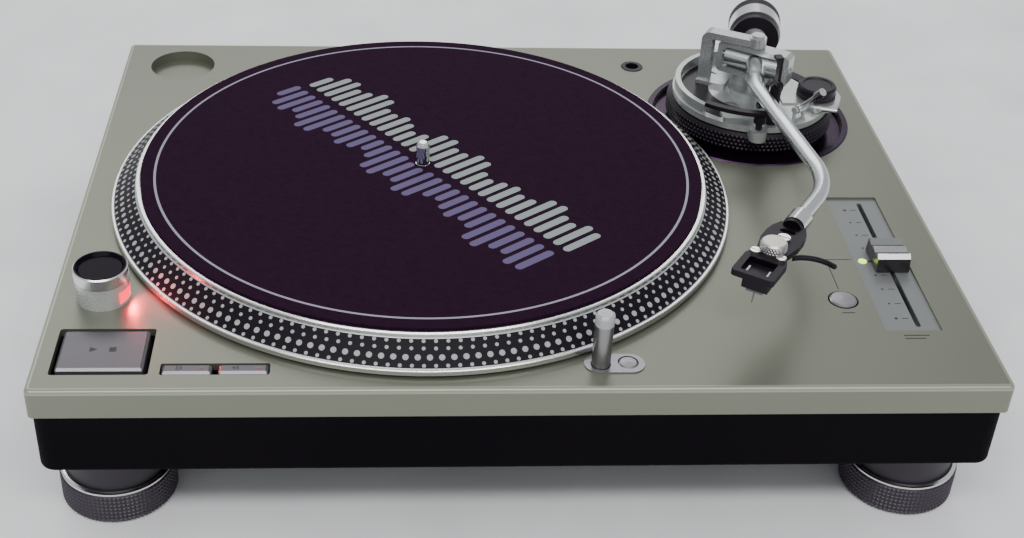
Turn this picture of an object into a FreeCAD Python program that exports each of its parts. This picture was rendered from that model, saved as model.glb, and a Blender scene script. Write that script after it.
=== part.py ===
"""Direct-drive record player with an S-shaped tonearm, in millimetres.

The origin is on the table, below the middle of the cabinet. +X is to the right, +Y is to the
back and +Z is up. The arm is parked on its rest, a little above level, with its clip open.
"""
import FreeCAD, Part
import os
from math import acos, cos, pi, radians, sin, tan

# Cabinet, base and feet
base_screw_spacing = 60.0
base_screw_inset = 15.0
screw_slot_length = 4.6
screw_slot_width = 1.0
screw_slot_depth = 1.6
screw_head_height = 2.6
board_x = -105.0
board_y = -60.0
board_width = 150.0
board_depth = 70.0
board_thickness = 1.6
board_lift = 6.0
board_post_radius = 3.0
board_post_inset_x = 10.0
board_post_inset_y = 7.0
chip_width = 16.0
chip_depth = 8.0
chip_height = 3.4
chip_pitch = 30.0
chip_row_y = 14.0
capacitor_radius = 4.0
capacitor_pitch = 25.0
capacitor_row_y = -16.0
transformer_x = 150.0
transformer_y = 60.0
transformer_width = 58.0
transformer_depth = 48.0
winding_width = 40.0
winding_depth = 30.0
winding_rise = 3.0
cabinet_width = 453.0
cabinet_depth = 353.0
cabinet_corner = 3.0
deck_edge_round = 2.0
deck_thickness = 4.0
skirt_thickness = 5.0
lip_height = 15.4
base_height = 33.1
base_inset = 0.8
transformer_headroom = 8.1
capacitor_share = 0.26
base_wall = 7.0
base_floor = 5.0
base_corner = 8.0
foot_height = 43.5
foot_inset_x = 29.0
foot_inset_y = 40.0
foot_radius = 28.0
foot_base_step = 3.0
foot_edge = 1.0
foot_chamfer = 1.2
foot_ring_groove = 0.8
foot_ring_bevel = 0.3
foot_ring_inset = 0.2
foot_cup_height = 17.0
foot_ring_height = 1.6
foot_neck_radius = 25.0
foot_stud_radius = 5.0
foot_stud_length = 12.0
chassis_thickness = 3.0
motor_floor_drop = 8.0
screw_head_radius = 3.5
screw_shank_radius = 2.0

# Clearances
gap = 0.4
running_clearance = 0.05
slide_clearance = 0.3
button_gap = 0.8

# Platter and motor
platter_x = -44.5
platter_y = -2.5
platter_radius = 166.0
platter_gap = 1.5
flange_height = 2.8
strobe_top_radius = 152.5
strobe_top_height = 13.4
rim_top_height = 15.7
mat_seat_height = 14.0
platter_web = 4.5
platter_rim_inner_radius = 147.0
hub_radius = 16.0
mat_radius = 150.0
mat_thickness = 3.0
mat_clearance = 0.6
mat_hole_clearance = 0.4
spindle_radius = 3.58
spindle_above_mat = 13.0
spindle_tip_round = 2.2
spindle_tip_step = 0.5
spindle_tip_cut = 1.6
spindle_collar_radius = 3.78
spindle_collar_rise = 0.2
shaft_radius = 5.0
bearing_radius = 11.0
bearing_flange_radius = 20.0
bearing_floor_gap = 2.1
bearing_base = 2.0
bearing_rise = 4.0
magnet_outer_radius = 70.0
magnet_inner_radius = 61.0
magnet_height = 16.0
stator_radius = 57.0
stator_thickness = 3.0
coil_count = 9
coil_orbit = 42.0
coil_radius = 9.0
coil_core_radius = 4.0
coil_height = 8.0
motor_well_clearance = 5.0

# Controls along the front and the right
start_x = -195.0
start_y = -147.0
start_width = 45.0
start_depth = 35.0
start_button_gap = 2.6
start_rise = 1.2
button_bevel = 1.2
button_body = 6.0
speed_y = -160.5
speed_width = 50.0
speed_depth = 8.4
speed_x = -142.5
speed_button_width = 22.6
speed_button_depth = 6.4
speed_rise = 0.6
switch_housing_depth = 11.2
tower_x = -201.5
tower_y = -102.5
tower_radius = 13.2
tower_height = 11.5
tower_wall = 1.6
power_knob_height = 6.2
power_knob_bevel = 0.8
power_shaft_radius = 3.0
power_shaft_length = 4.0
power_dish_slope = 1.5
power_dish_depth = 1.6
power_knob_rim = 1.4
window_angle = -18.0
window_width = 12.0
window_height = 6.5
light_x = 35.0
light_y = -158.5
light_radius = 4.5
light_height = 29.5
light_lens_height = 6.0
light_button_x = 48.0
light_button_y = -157.5
light_button_radius = 4.6
light_button_rise = 1.0
light_bezel_width = 28.5
light_bezel_depth = 14.0
light_bezel_thickness = 1.6
pitch_x = 191.0
pitch_y = -71.0
pitch_width = 28.0
pitch_length = 123.0
pitch_recess = 1.2
pitch_panel_thickness = 1.8
pitch_slot_x = 194.8
pitch_slot_width = 2.6
pitch_travel = 50.0
pitch_stem_width = 1.8
pot_width = 9.0
pot_height = 12.0
pot_end = 14.0
pot_wall = 3.0
pot_floor = 2.0
pot_play = 1.2
pitch_stem_drop = 6.0
pitch_stem_length = 6.0
pitch_knob_width = 17.0
pitch_knob_length = 21.0
pitch_knob_height = 9.5
pitch_knob_dip = 2.6
pitch_skirt_drop = 2.2
pitch_skirt_slope = 1.0
pitch_top_inset = 3.0
pitch_dip_half = 3.4
pitch_ridge_half = 1.4
pitch_ridge_rise = 1.6
pitch_lamp_x = 182.0
pitch_lamp_radius = 2.2
pitch_lamp_rise = 0.3
pitch_lamp_height = 5.0
reset_x = 162.5
reset_y = -107.0
reset_radius = 6.8
reset_rise = 1.2
round_button_body = 7.0

# Sockets, recesses and glands
adapter_x = -190.5
adapter_y = 146.5
adapter_recess_radius = 19.5
adapter_recess_depth = 6.0
adapter_boss_wall = 2.5
socket_x = 91.5
socket_y = 148.5
socket_radius = 6.0
socket_rim = 1.0
socket_rim_bevel = 0.4
socket_floor = 1.5
socket_bore_radius = 4.1
socket_depth = 13.5
socket_rim_height = 0.5
hinge_spacing = 300.0
hinge_socket_width = 42.0
hinge_socket_depth = 11.0
hinge_socket_height = 34.0
hinge_slot_width = 30.0
hinge_slot_depth = 6.0
hinge_slot_height = 26.0
gland_radius = 7.0
gland_bore_radius = 3.6
gland_length = 10.0
power_gland_x = -60.0
signal_gland_x = 60.0

# Tonearm base
pivot_to_spindle = 215.0
pivot_bearing_angle = 23.8
well_radius = 60.0
well_rim_width = 4.0
well_rim_bevel = 0.6
well_inner_bevel = 0.4
well_wall_slope = 0.8
well_seat_inset = 4.0
well_seat_rise = 0.8
well_rim_height = 0.8
well_floor_depth = 3.0
well_plate_thickness = 2.0
height_ring_radius = 48.5
height_ring_bore = 40.0
height_ring_bevel = 1.5
height_ring_step = 2.0
height_ring_bottom = 1.5
height_ring_height = 11.5
arm_base_radius = 46.0
arm_base_bottom = 13.5
arm_base_thickness = 3.5
arm_base_wall = 3.0
arm_base_wall_height = 6.0
arm_base_column_radius = 38.0
arm_base_column_gap = 1.3
arm_base_boss_radius = 13.0
arm_base_boss_rise = 3.0
arm_base_pad_x = -14.0
arm_base_pad_y = -34.0
arm_base_pad_width = 20.0
arm_base_pad_depth = 12.0
skate_neck_width = 24.0
skate_neck_depth = 20.0
skate_neck_offset = 10.0
arm_base_pocket_x = -16.0
arm_base_pocket_y = -20.0
arm_base_pocket_width = 12.0
arm_base_pocket_radius = 5.5
arm_wall_outline = [(0, 0), (-60, -52), (-90, 0), (-70, 60), (-12, 60)]
weight_sweep_left = -12.0
weight_sweep_front = 8.0
weight_sweep_size = 70.0
lift_stem_bore = 2.0
lift_post_rise = 3.0
skate_lobe_rise = 1.0
weight_sweep_radius = 28.5
skate_lobe_x = 37.5
skate_lobe_y = -7.5
skate_lobe_radius = 14.5
skate_dial_radius = 11.2
skate_dial_height = 7.0
skate_dial_rim = 1.2
skate_dial_bevel = 1.0
skate_pin_radius = 1.5
skate_pin_length = 3.0
skate_dial_dish = 0.6

# Tonearm
pivot_height = 36.0
effective_length = 230.0
offset_angle = 22.0
parked_angle = 11.5
parked_lift = 1.2
headshell_reach = 47.0
tube_out_angle = 7.7
first_bend_distance = 32.0
first_bend_radius = 40.0
second_bend_radius = 55.0
tube_radius = 4.1
bridge_half_width = 29.0
bridge_bar = 6.5
bridge_beam_depth = 4.2
bridge_corner_inset = 1.5
bridge_foot_reach = 14.0
bridge_foot_edge = 2.0
bridge_foot_height = 2.5
pivot_boss_rise = 1.5
pivot_boss_step = 1.4
pivot_boss_top = 3.0
bridge_depth = 8.0
bridge_angle = 27.0
bridge_top_height = 50.2
gimbal_half_width = 22.0
gimbal_half_height = 9.6
gimbal_bar = 3.2
gimbal_depth = 9.0
pivot_pin_radius = 2.0
pivot_boss_radius = 5.0
block_radius = 6.0
block_half_length = 17.0
cone_length = 22.0
cone_radius = 5.6
tube_collar_radius = 5.2
stub_radius = 4.0
stub_length = 62.0
weight_distance = 32.0
weight_length = 20.0
weight_radius = 15.5
weight_grip_length = 7.0
dial_radius = 14.3
dial_length = 6.0
sleeve_radius = 7.0
lock_collar_radius = 5.6
lock_collar_length = 11.0
shell_thickness = 3.2
shell_half_width = 9.6
shell_neck_half_width = 6.3
shell_length = 54.0
shell_nose_half_width = 10.4
shell_waist_half_width = 7.6
shell_waist_y = -29.0
shell_nose_y = -36.5
shell_shoulder_y = -6.0
shell_side_front_y = -19.0
shell_side_back_y = -11.0
shell_nose_bevel = 1.2
shell_window_inset = 3.0
shell_slot_y = -8.0
shell_slot_length = 8.0
shell_slot_width = 3.4
shell_screw_hole = 1.35
plug_length = 8.0
plug_step = 0.9
flange_length = 2.5
flange_step = 0.6
shell_window_width = 14.0
shell_window_length = 12.6
shell_screw_y = -34.2
shell_screw_spacing = 12.7
shell_screw_radius = 1.3
shell_screw_head = 2.4
shell_screw_rise = 1.6
plug_screw_x = 1.0
plug_screw_y = -16.5
plug_screw_head = 3.2
plug_screw_rise = 1.8
shell_weight_y = -27.5
shell_weight_radius = 6.2
shell_weight_height = 5.0
cartridge_width = 16.8
cartridge_length = 17.0
cartridge_height = 9.0
cartridge_flange_height = 4.0
cartridge_side_step = 2.0
cartridge_end_step = 1.0
cartridge_pin_radius = 0.6
cartridge_pin_pitch = 3.0
cartridge_pin_length = 4.0
cartridge_pin_share = 0.72
cartridge_back = -31.0
stylus_width = 8.0
stylus_front = 0.6
stylus_lip = 0.4
stylus_nose = 0.8
stylus_chin_length = 1.4
stylus_chin = 1.6
stylus_depth = 2.6
cantilever_radius = 0.35
cantilever_drop = 1.8
tip_radius = 0.12
tip_length = 1.0
tip_playing_height = 1.5
stylus_length = 9.0
finger_radius = 1.3
finger_root_y = -27.0
finger_bend_x = 9.0
finger_bend_y = -21.5
finger_tip_x = 19.0
finger_tip_y = -22.5
rest_distance = 42.0
rest_drop = 1.8
clip_length = 16.0
clip_width = 5.0
clip_thickness = 1.6
clip_pin_radius = 0.9
rest_post_radius = 3.2
rest_side_gap = 1.4
lift_distance = 53.0
lift_angle = 7.0
lift_bar_span = 34.0
lift_bar_thickness = 2.4
lift_bar_width = 4.0
cue_angle = -35.0
cue_distance = 38.0
cue_lever_length = 22.0
cue_lever_rise = 50.0
cue_hinge_rise = 4.5
cue_pin_radius = 1.2
cue_barrel_radius = 2.4
cue_barrel_half = 2.5
cue_knob_length = 6.0
cue_fork_offset = 3.8
cue_fork_radius = 1.0
cue_ear_radius = 2.0
cue_ear_start = 2.9
cue_ear_end = 4.6
cue_lever_radius = 1.5
cue_knob_radius = 2.4
lock_angle = -52.0
lock_distance = 42.0
lock_lever_length = 12.0
lock_lever_angle = -75.0
lock_lever_radius = 1.3
lock_lever_rise = 1.6
lock_hub_radius = 2.8
lock_hub_height = 3.0
lock_stem_radius = 1.5
lock_stem_depth = 2.5
lift_drop = 2.4
lift_travel = 4.0
lift_post_radius = 5.2

# Derived heights and places
base_bottom_z = foot_height
lip_bottom_z = base_bottom_z + base_height
deck_z = lip_bottom_z + lip_height
plate_bottom_z = deck_z - deck_thickness
half_width = cabinet_width / 2
half_depth = cabinet_depth / 2
foot_x = half_width - foot_inset_x
foot_y = half_depth - foot_inset_y
mat_top_z = deck_z + mat_seat_height + mat_thickness
pivot_x = platter_x + pivot_to_spindle * cos(radians(pivot_bearing_angle))
pivot_y = platter_y + pivot_to_spindle * sin(radians(pivot_bearing_angle))
pivot_z = deck_z + pivot_height
arm_top_z = deck_z + arm_base_bottom + arm_base_thickness
shell_angle = parked_angle + offset_angle
motor_well_radius = magnet_outer_radius + motor_well_clearance
magnet_bottom_z = deck_z + mat_seat_height - platter_web - magnet_height
chassis_top_z = lip_bottom_z
inner_depth = base_height - base_floor
bearing_length = inner_depth - bearing_floor_gap
bore_eps = 1.0


def vec(x, y, z=0.0):
    return FreeCAD.Vector(x, y, z)


def heading(angle):
    """Unit vector that points to the front, turned to the left by an angle in degrees."""
    return vec(-sin(radians(angle)), -cos(radians(angle)))


def box(x0, x1, y0, y1, z0, z1):
    return Part.makeBox(x1 - x0, y1 - y0, z1 - z0, vec(x0, y0, z0))


def block(x, y, width, depth, z0, z1):
    return box(x - width / 2, x + width / 2, y - depth / 2, y + depth / 2, z0, z1)


def cyl(radius, z0, z1, x=0.0, y=0.0):
    return Part.makeCylinder(radius, z1 - z0, vec(x, y, z0))


def ring(outer, inner, z0, z1, x=0.0, y=0.0):
    return cyl(outer, z0, z1, x, y).cut(cyl(inner, z0 - bore_eps, z1 + bore_eps, x, y))


def rod(radius, start, end):
    return Part.makeCylinder(radius, (end - start).Length, start, end - start)


def turned(profile, x=0.0, y=0.0, z=0.0):
    """Solid turned about a vertical axis from (radius, height) points."""
    points = [vec(x + r, y, z + h) for r, h in profile]
    face = Part.Face(Part.makePolygon(points + points[:1]))
    return face.revolve(vec(x, y), vec(0, 0, 1), 360)


def upright_edges(shape):
    return [e for e in shape.Edges if abs(e.tangentAt(e.FirstParameter).z) > 0.99]


def edges_at(shape, z):
    return [e for e in shape.Edges if abs(e.BoundBox.ZMin - z) < 0.01 and abs(e.BoundBox.ZMax - z) < 0.01]


def rounded_block(x, y, width, depth, z0, z1, radius):
    solid = block(x, y, width, depth, z0, z1)
    return solid.makeFillet(radius, upright_edges(solid))


def bevelled_block(x, y, width, depth, z0, z1, radius, bevel):
    solid = rounded_block(x, y, width, depth, z0, z1, radius)
    return solid.makeChamfer(bevel, edges_at(solid, z1))


def plate(points, z0, z1):
    outline = Part.makePolygon([vec(px, py, z0) for px, py in points + points[:1]])
    return Part.Face(outline).extrude(vec(0, 0, z1 - z0))


def turn(shape, angle, x, y):
    """Copy turned about the vertical line at x, y."""
    moved = shape.copy()
    moved.rotate(vec(x, y), vec(0, 0, 1), angle)
    return moved


def save(name, *solids):
    shape = solids[0] if len(solids) == 1 else Part.makeCompound(list(solids))
    shape.exportStep("parts/" + name + ".step")


# --- Cabinet, base, chassis and feet ------------------------------------------------------------

def hinge_x(side):
    return side * hinge_spacing / 2


def hinge_block(side, grow):
    y = half_depth - hinge_socket_depth / 2
    top = deck_z - hinge_socket_depth
    width = hinge_socket_width + 2 * grow
    depth = hinge_socket_depth + 2 * grow
    return block(hinge_x(side), y, width, depth, top - hinge_socket_height - grow, top + grow)


def cabinet():
    shell = rounded_block(0, 0, cabinet_width, cabinet_depth, lip_bottom_z, deck_z, cabinet_corner)
    shell = shell.makeFillet(deck_edge_round, edges_at(shell, deck_z))
    inner_width = cabinet_width - 2 * skirt_thickness
    inner_depth = cabinet_depth - 2 * skirt_thickness
    shell = shell.cut(block(0, 0, inner_width, inner_depth, lip_bottom_z - bore_eps, plate_bottom_z))
    boss_bottom = deck_z - adapter_recess_depth - adapter_boss_wall
    boss_radius = adapter_recess_radius + adapter_boss_wall
    shell = shell.fuse(cyl(boss_radius, boss_bottom, plate_bottom_z + bore_eps, adapter_x, adapter_y))
    low = plate_bottom_z - bore_eps
    high = deck_z + bore_eps
    cuts = [
        cyl(adapter_recess_radius, deck_z - adapter_recess_depth, high, adapter_x, adapter_y),
        cyl(motor_well_radius, low, high, platter_x, platter_y),
        cyl(well_radius - well_rim_width, low, high, pivot_x, pivot_y),
        rounded_block(start_x, start_y, start_width, start_depth, low, high, 1.5),
        rounded_block(speed_x, speed_y, speed_width, speed_depth, low, high, 1.0),
        cyl(tower_radius - tower_wall, low, high, tower_x, tower_y),
        light_outline(low, high, 0),
        block(pitch_x, pitch_y, pitch_width, pitch_length, low, high),
        cyl(reset_radius + button_gap, low, high, reset_x, reset_y),
        cyl(socket_radius, low, high, socket_x, socket_y),
    ]
    for side in (-1, 1):
        cuts.append(hinge_block(side, 0))
    for cut in cuts:
        shell = shell.cut(cut)
    return shell


def base_screw_places():
    step = base_screw_spacing
    xs = (-half_width + step, -step, step, half_width - step)
    return [(x, side * (half_depth - base_screw_inset)) for x in xs for side in (-1, 1)]


def rubber_base():
    width = cabinet_width - 2 * base_inset
    depth = cabinet_depth - 2 * base_inset
    solid = rounded_block(0, 0, width, depth, base_bottom_z, lip_bottom_z, base_corner)
    solid = solid.makeFillet(base_floor / 2, edges_at(solid, base_bottom_z))
    floor_z = base_bottom_z + base_floor
    inner_width = width - 2 * base_wall
    inner_depth = depth - 2 * base_wall
    top = chassis_top_z - chassis_thickness
    solid = solid.cut(block(0, 0, inner_width, inner_depth, floor_z, top))
    ledge = 4.0
    solid = solid.cut(block(0, 0, width - 2 * ledge, depth - 2 * ledge, top, lip_bottom_z + bore_eps))
    for x, y in base_screw_places():
        solid = solid.cut(cyl(screw_head_radius + gap, base_bottom_z - bore_eps, base_bottom_z + 3, x, y))
        solid = solid.cut(cyl(screw_shank_radius, base_bottom_z, top + bore_eps, x, y))
    for sx in (-1, 1):
        for sy in (-1, 1):
            stud_top = base_bottom_z + foot_stud_length
            x = sx * foot_x
            y = sy * foot_y
            solid = solid.fuse(cyl(foot_stud_radius + 5, floor_z, stud_top + 3, x, y))
            bore = foot_stud_radius + running_clearance
            solid = solid.cut(cyl(bore, base_bottom_z - bore_eps, stud_top + gap, x, y))
    for x in (power_gland_x, signal_gland_x):
        solid = solid.cut(gland_body(x, gland_radius))
    for side in (-1, 1):
        solid = solid.cut(hinge_block(side, 0))
    return solid


def inner_chassis():
    ledge = 4.0
    width = cabinet_width - 2 * base_inset - 2 * ledge
    depth = cabinet_depth - 2 * base_inset - 2 * ledge
    solid = block(0, 0, width, depth, chassis_top_z - chassis_thickness, chassis_top_z)
    inner = magnet_outer_radius + chassis_thickness
    outer = inner + chassis_thickness
    solid = solid.cut(cyl(inner, 0, deck_z, platter_x, platter_y))
    floor_z = chassis_top_z - motor_floor_drop
    rib = ring(outer, inner, floor_z, chassis_top_z + chassis_thickness, platter_x, platter_y)
    floor = cyl(outer, floor_z - chassis_thickness, floor_z, platter_x, platter_y)
    solid = solid.fuse(rib).fuse(floor)
    bottom = floor_z - chassis_thickness - bore_eps
    solid = solid.cut(cyl(bearing_radius, bottom, chassis_top_z, platter_x, platter_y))
    for x, y in base_screw_places():
        solid = solid.cut(cyl(screw_shank_radius, bottom, chassis_top_z + 1, x, y))
    for side in (-1, 1):
        solid = solid.cut(hinge_block(side, gap))
    solid = solid.cut(cyl(adapter_recess_radius + 5, bottom, deck_z, adapter_x, adapter_y))
    solid = solid.cut(cyl(light_radius + 3, bottom, deck_z, light_x, light_y))
    return solid


def base_screws():
    top = chassis_top_z
    screws = []
    for x, y in base_screw_places():
        low = base_bottom_z + gap
        head = cyl(screw_head_radius, low, low + screw_head_height, x, y)
        slot_top = base_bottom_z + screw_slot_depth
        head = head.cut(block(x, y, screw_slot_width, screw_slot_length, base_bottom_z, slot_top))
        head = head.cut(block(x, y, screw_slot_length, screw_slot_width, base_bottom_z, slot_top))
        screws.append(head.fuse(cyl(screw_shank_radius, base_bottom_z + 2, top, x, y)))
    return screws


def foot(sx, sy):
    x = sx * foot_x
    y = sy * foot_y
    top = foot_height - gap
    ring_z = foot_cup_height
    neck_z = ring_z + foot_ring_height
    ring_radius = foot_radius - foot_ring_inset
    profile = [
        (0, 0), (foot_radius - foot_base_step, 0),
        (foot_radius - foot_base_step + foot_chamfer / 2, foot_chamfer),
        (foot_radius - foot_edge, foot_chamfer), (foot_radius, foot_chamfer + foot_edge),
        (foot_radius, ring_z - foot_chamfer / 2), (foot_radius - foot_ring_groove, ring_z),
        (ring_radius, ring_z + foot_ring_bevel), (ring_radius, neck_z - foot_ring_bevel),
        (foot_radius - foot_edge, neck_z), (foot_neck_radius, neck_z + gap),
        (foot_neck_radius, top), (foot_stud_radius, top),
        (foot_stud_radius, base_bottom_z + foot_stud_length), (0, base_bottom_z + foot_stud_length),
    ]
    return turned(profile, x, y)


def hinge_sockets():
    sockets = []
    for side in (-1, 1):
        x = hinge_x(side)
        body = hinge_block(side, 0)
        top = deck_z - hinge_socket_depth
        y = half_depth - hinge_socket_depth / 2
        slot = block(x, y, hinge_slot_width, hinge_slot_depth, top - hinge_slot_height, top + bore_eps)
        lead = block(x, half_depth, hinge_slot_width, hinge_socket_depth, top - 8, top + bore_eps)
        sockets.append(body.cut(slot).cut(lead))
    return sockets


def gland_z():
    return base_bottom_z + base_height / 2


def gland_body(x, radius):
    start = vec(x, half_depth - base_inset - gland_length, gland_z())
    return rod(radius, start, vec(x, half_depth - base_inset + bore_eps, gland_z()))


def cord_glands():
    glands = []
    for x in (power_gland_x, signal_gland_x):
        back = half_depth - base_inset
        body = rod(gland_radius, vec(x, back - gland_length, gland_z()), vec(x, back, gland_z()))
        z = gland_z()
        bore = rod(gland_bore_radius, vec(x, back - gland_length - 1, z), vec(x, back + 2, z))
        glands.append(body.cut(bore))
    return glands


# --- Platter and motor --------------------------------------------------------------------------

def platter():
    flange_top = platter_gap + flange_height
    under = mat_seat_height - platter_web
    seat_radius = mat_radius + mat_clearance
    profile = [
        (shaft_radius, mat_seat_height), (seat_radius, mat_seat_height),
        (seat_radius, rim_top_height), (strobe_top_radius - 0.5, rim_top_height),
        (strobe_top_radius, rim_top_height - 0.5), (strobe_top_radius, strobe_top_height),
        (platter_radius - 1.2, flange_top), (platter_radius - 0.4, flange_top),
        (platter_radius, flange_top - 0.4), (platter_radius, platter_gap),
        (platter_radius - 4, platter_gap), (platter_rim_inner_radius, under - 3),
        (platter_rim_inner_radius, under), (hub_radius, under), (hub_radius, under - 6),
        (shaft_radius, under - 6),
    ]
    return turned(profile, platter_x, platter_y, deck_z)


def rotor_magnet():
    top = deck_z + mat_seat_height - platter_web
    return ring(magnet_outer_radius, magnet_inner_radius, magnet_bottom_z, top, platter_x, platter_y)


def slipmat():
    hole = spindle_radius + mat_hole_clearance
    return ring(mat_radius, hole, deck_z + mat_seat_height, mat_top_z, platter_x, platter_y)


def spindle():
    seat = deck_z + mat_seat_height
    bottom = chassis_top_z - bearing_length
    collar_top = mat_top_z + spindle_collar_rise
    tip = mat_top_z + spindle_above_mat
    profile = [
        (0, bottom), (shaft_radius, bottom), (shaft_radius, seat), (spindle_collar_radius, seat),
        (spindle_collar_radius, collar_top), (spindle_radius, collar_top),
        (spindle_radius, tip - spindle_tip_round),
        (spindle_radius - spindle_tip_step, tip - 2 * spindle_tip_step),
        (spindle_radius - spindle_tip_cut, tip), (0, tip),
    ]
    return turned(profile, platter_x, platter_y)


def spindle_bearing():
    bore = shaft_radius + running_clearance
    bottom = chassis_top_z - bearing_length
    top = chassis_top_z + bearing_rise
    flange_low = chassis_top_z - motor_floor_drop
    flange_high = flange_low + chassis_thickness
    profile = [
        (0, bottom - bearing_base), (bearing_radius, bottom - bearing_base), (bearing_radius, flange_low),
        (bearing_flange_radius, flange_low), (bearing_flange_radius, flange_high),
        (bearing_radius, flange_high), (bearing_radius, top), (bore, top),
        (bore, bottom - slide_clearance), (0, bottom - slide_clearance),
    ]
    return turned(profile, platter_x, platter_y)


def motor_stator():
    low = chassis_top_z - 5
    solid = ring(stator_radius, bearing_radius + 0.5, low, low + stator_thickness, platter_x, platter_y)
    solids = [solid]
    for x, y in coil_places():
        solids.append(ring(coil_radius, coil_core_radius, low + stator_thickness,
                           low + stator_thickness + coil_height, x, y))
    return solids


def coil_places():
    places = []
    for index in range(coil_count):
        angle = 2 * pi * index / coil_count
        places.append((platter_x + coil_orbit * cos(angle), platter_y + coil_orbit * sin(angle)))
    return places


def circuit_board():
    floor = base_bottom_z + base_floor
    low = floor + board_lift
    board_top = low + board_thickness
    solids = [block(board_x, board_y, board_width, board_depth, low, board_top)]
    post_x = board_width / 2 - board_post_inset_x
    post_y = board_depth / 2 - board_post_inset_y
    for sx in (-1, 1):
        for sy in (-1, 1):
            solids.append(cyl(board_post_radius, floor, low, board_x + sx * post_x, board_y + sy * post_y))
    for step in (-1.5, -0.5, 0.5, 1.5):
        x = board_x + step * chip_pitch
        y = board_y + chip_row_y
        solids.append(block(x, y, chip_width, chip_depth, board_top, board_top + chip_height))
    capacitor_top = board_top + inner_depth * capacitor_share
    for step in (-2, -1, 0, 1, 2):
        x = board_x + step * capacitor_pitch
        solids.append(cyl(capacitor_radius, board_top, capacitor_top, x, board_y + capacitor_row_y))
    return solids


def transformer():
    low = base_bottom_z + base_floor
    core_top = low + inner_depth - transformer_headroom
    x = transformer_x
    y = transformer_y
    core = block(x, y, transformer_width, transformer_depth, low, core_top)
    winding = block(x, y, winding_width, winding_depth, core_top, core_top + winding_rise)
    return [core, winding]


# --- Controls -----------------------------------------------------------------------------------

def stadium(x, y, width, depth, z0, z1):
    reach = (width - depth) / 2
    solid = block(x, y, 2 * reach, depth, z0, z1)
    for side in (-1, 1):
        solid = solid.fuse(cyl(depth / 2, z0, z1, x + side * reach, y))
    return solid.removeSplitter()


def light_outline(z0, z1, grow):
    x = (light_x + light_button_x) / 2
    y = (light_y + light_button_y) / 2
    return stadium(x, y, light_bezel_width + 2 * grow, light_bezel_depth + 2 * grow, z0, z1)


def push_button(x, y, width, depth, side_gap, rise):
    low = plate_bottom_z - button_body
    return bevelled_block(x, y, width - 2 * side_gap, depth - 2 * side_gap, low, deck_z + rise, 1.0,
                          min(button_bevel, depth / 6))


def start_stop_button():
    return push_button(start_x, start_y, start_width, start_depth, start_button_gap, start_rise)


def speed_button(side):
    x = speed_x + side * (speed_width - speed_button_width - 2 * button_gap) / 2
    side_gap = (speed_depth - speed_button_depth) / 2
    return push_button(x, speed_y, speed_button_width + 2 * side_gap, speed_depth, side_gap, speed_rise)


def switch_housing():
    low = plate_bottom_z - switch_housing_depth
    parts = []
    for x, y, width, depth in (
        (start_x, start_y, start_width, start_depth),
        (speed_x, speed_y, speed_width, speed_depth),
    ):
        outer = block(x, y, width + 4, depth + 3, low, plate_bottom_z)
        outer = outer.cut(block(x, y, width, depth, low + 2, plate_bottom_z + bore_eps))
        parts.append(outer)
    return parts


def strobe_tower():
    low = plate_bottom_z - 4
    top = deck_z + tower_height
    bore = tower_radius - tower_wall
    body = ring(tower_radius, bore, deck_z, top, tower_x, tower_y)
    collar = ring(bore, bore - tower_wall, low, deck_z + 2, tower_x, tower_y)
    body = body.fuse(collar)
    shelf = cyl(bore, top - 2, top, tower_x, tower_y).cut(cyl(3, top - 3, top + 1, tower_x, tower_y))
    body = body.fuse(shelf)
    return body.cut(window_block(0))


def window_block(inset):
    middle = tower_x + tower_radius
    low = deck_z + 1.5 + inset
    high = deck_z + 1.5 + window_height - inset
    solid = block(middle, tower_y, 2 * tower_wall + 1, window_width - 2 * inset, low, high)
    return turn(solid, window_angle, tower_x, tower_y)


def strobe_window():
    inner = tower_radius - tower_wall
    shell = ring(tower_radius - 0.3, inner, deck_z, deck_z + tower_height, tower_x, tower_y)
    return shell.common(window_block(0))


def power_knob():
    low = deck_z + tower_height + slide_clearance
    top = low + power_knob_height
    rim = tower_radius - power_knob_rim
    shaft = power_shaft_radius - running_clearance
    profile = [
        (0, low - power_shaft_length), (shaft, low - power_shaft_length), (shaft, low), (tower_radius, low),
        (tower_radius, top - power_knob_bevel), (tower_radius - power_knob_bevel, top), (rim, top),
        (rim - power_dish_slope, top - power_dish_depth), (0, top - power_dish_depth),
    ]
    return turned(profile, tower_x, tower_y)


def target_light_bezel():
    low = deck_z - deck_thickness
    top = deck_z + light_bezel_thickness - 1.0
    solid = light_outline(low, top, 0)
    solid = solid.cut(cyl(light_radius + slide_clearance, low - 1, top + 1, light_x, light_y))
    well = light_button_radius + slide_clearance
    return solid.cut(cyl(well, low - 1, top + 1, light_button_x, light_button_y))


def target_light_tube():
    low = deck_z - 12
    top = deck_z + light_height - light_lens_height
    solid = cyl(light_radius, low, top, light_x, light_y)
    return solid.cut(cyl(light_radius - 1.2, top - 6, top + 1, light_x, light_y))


def target_light_lens():
    low = deck_z + light_height - light_lens_height
    top = deck_z + light_height
    profile = [
        (0, low - 5), (light_radius - 1.2, low - 5), (light_radius - 1.2, low), (light_radius, low),
        (light_radius, top - 1), (light_radius - 1, top), (0, top),
    ]
    return turned(profile, light_x, light_y)


def round_button(x, y, radius, rise, crown):
    low = plate_bottom_z - round_button_body + 2
    top = deck_z + rise
    profile = [(0, low), (radius, low), (radius, top - crown), (radius - crown, top - crown / 3), (0, top)]
    return turned(profile, x, y)


def pitch_floor_z():
    return deck_z - pitch_recess


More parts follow.
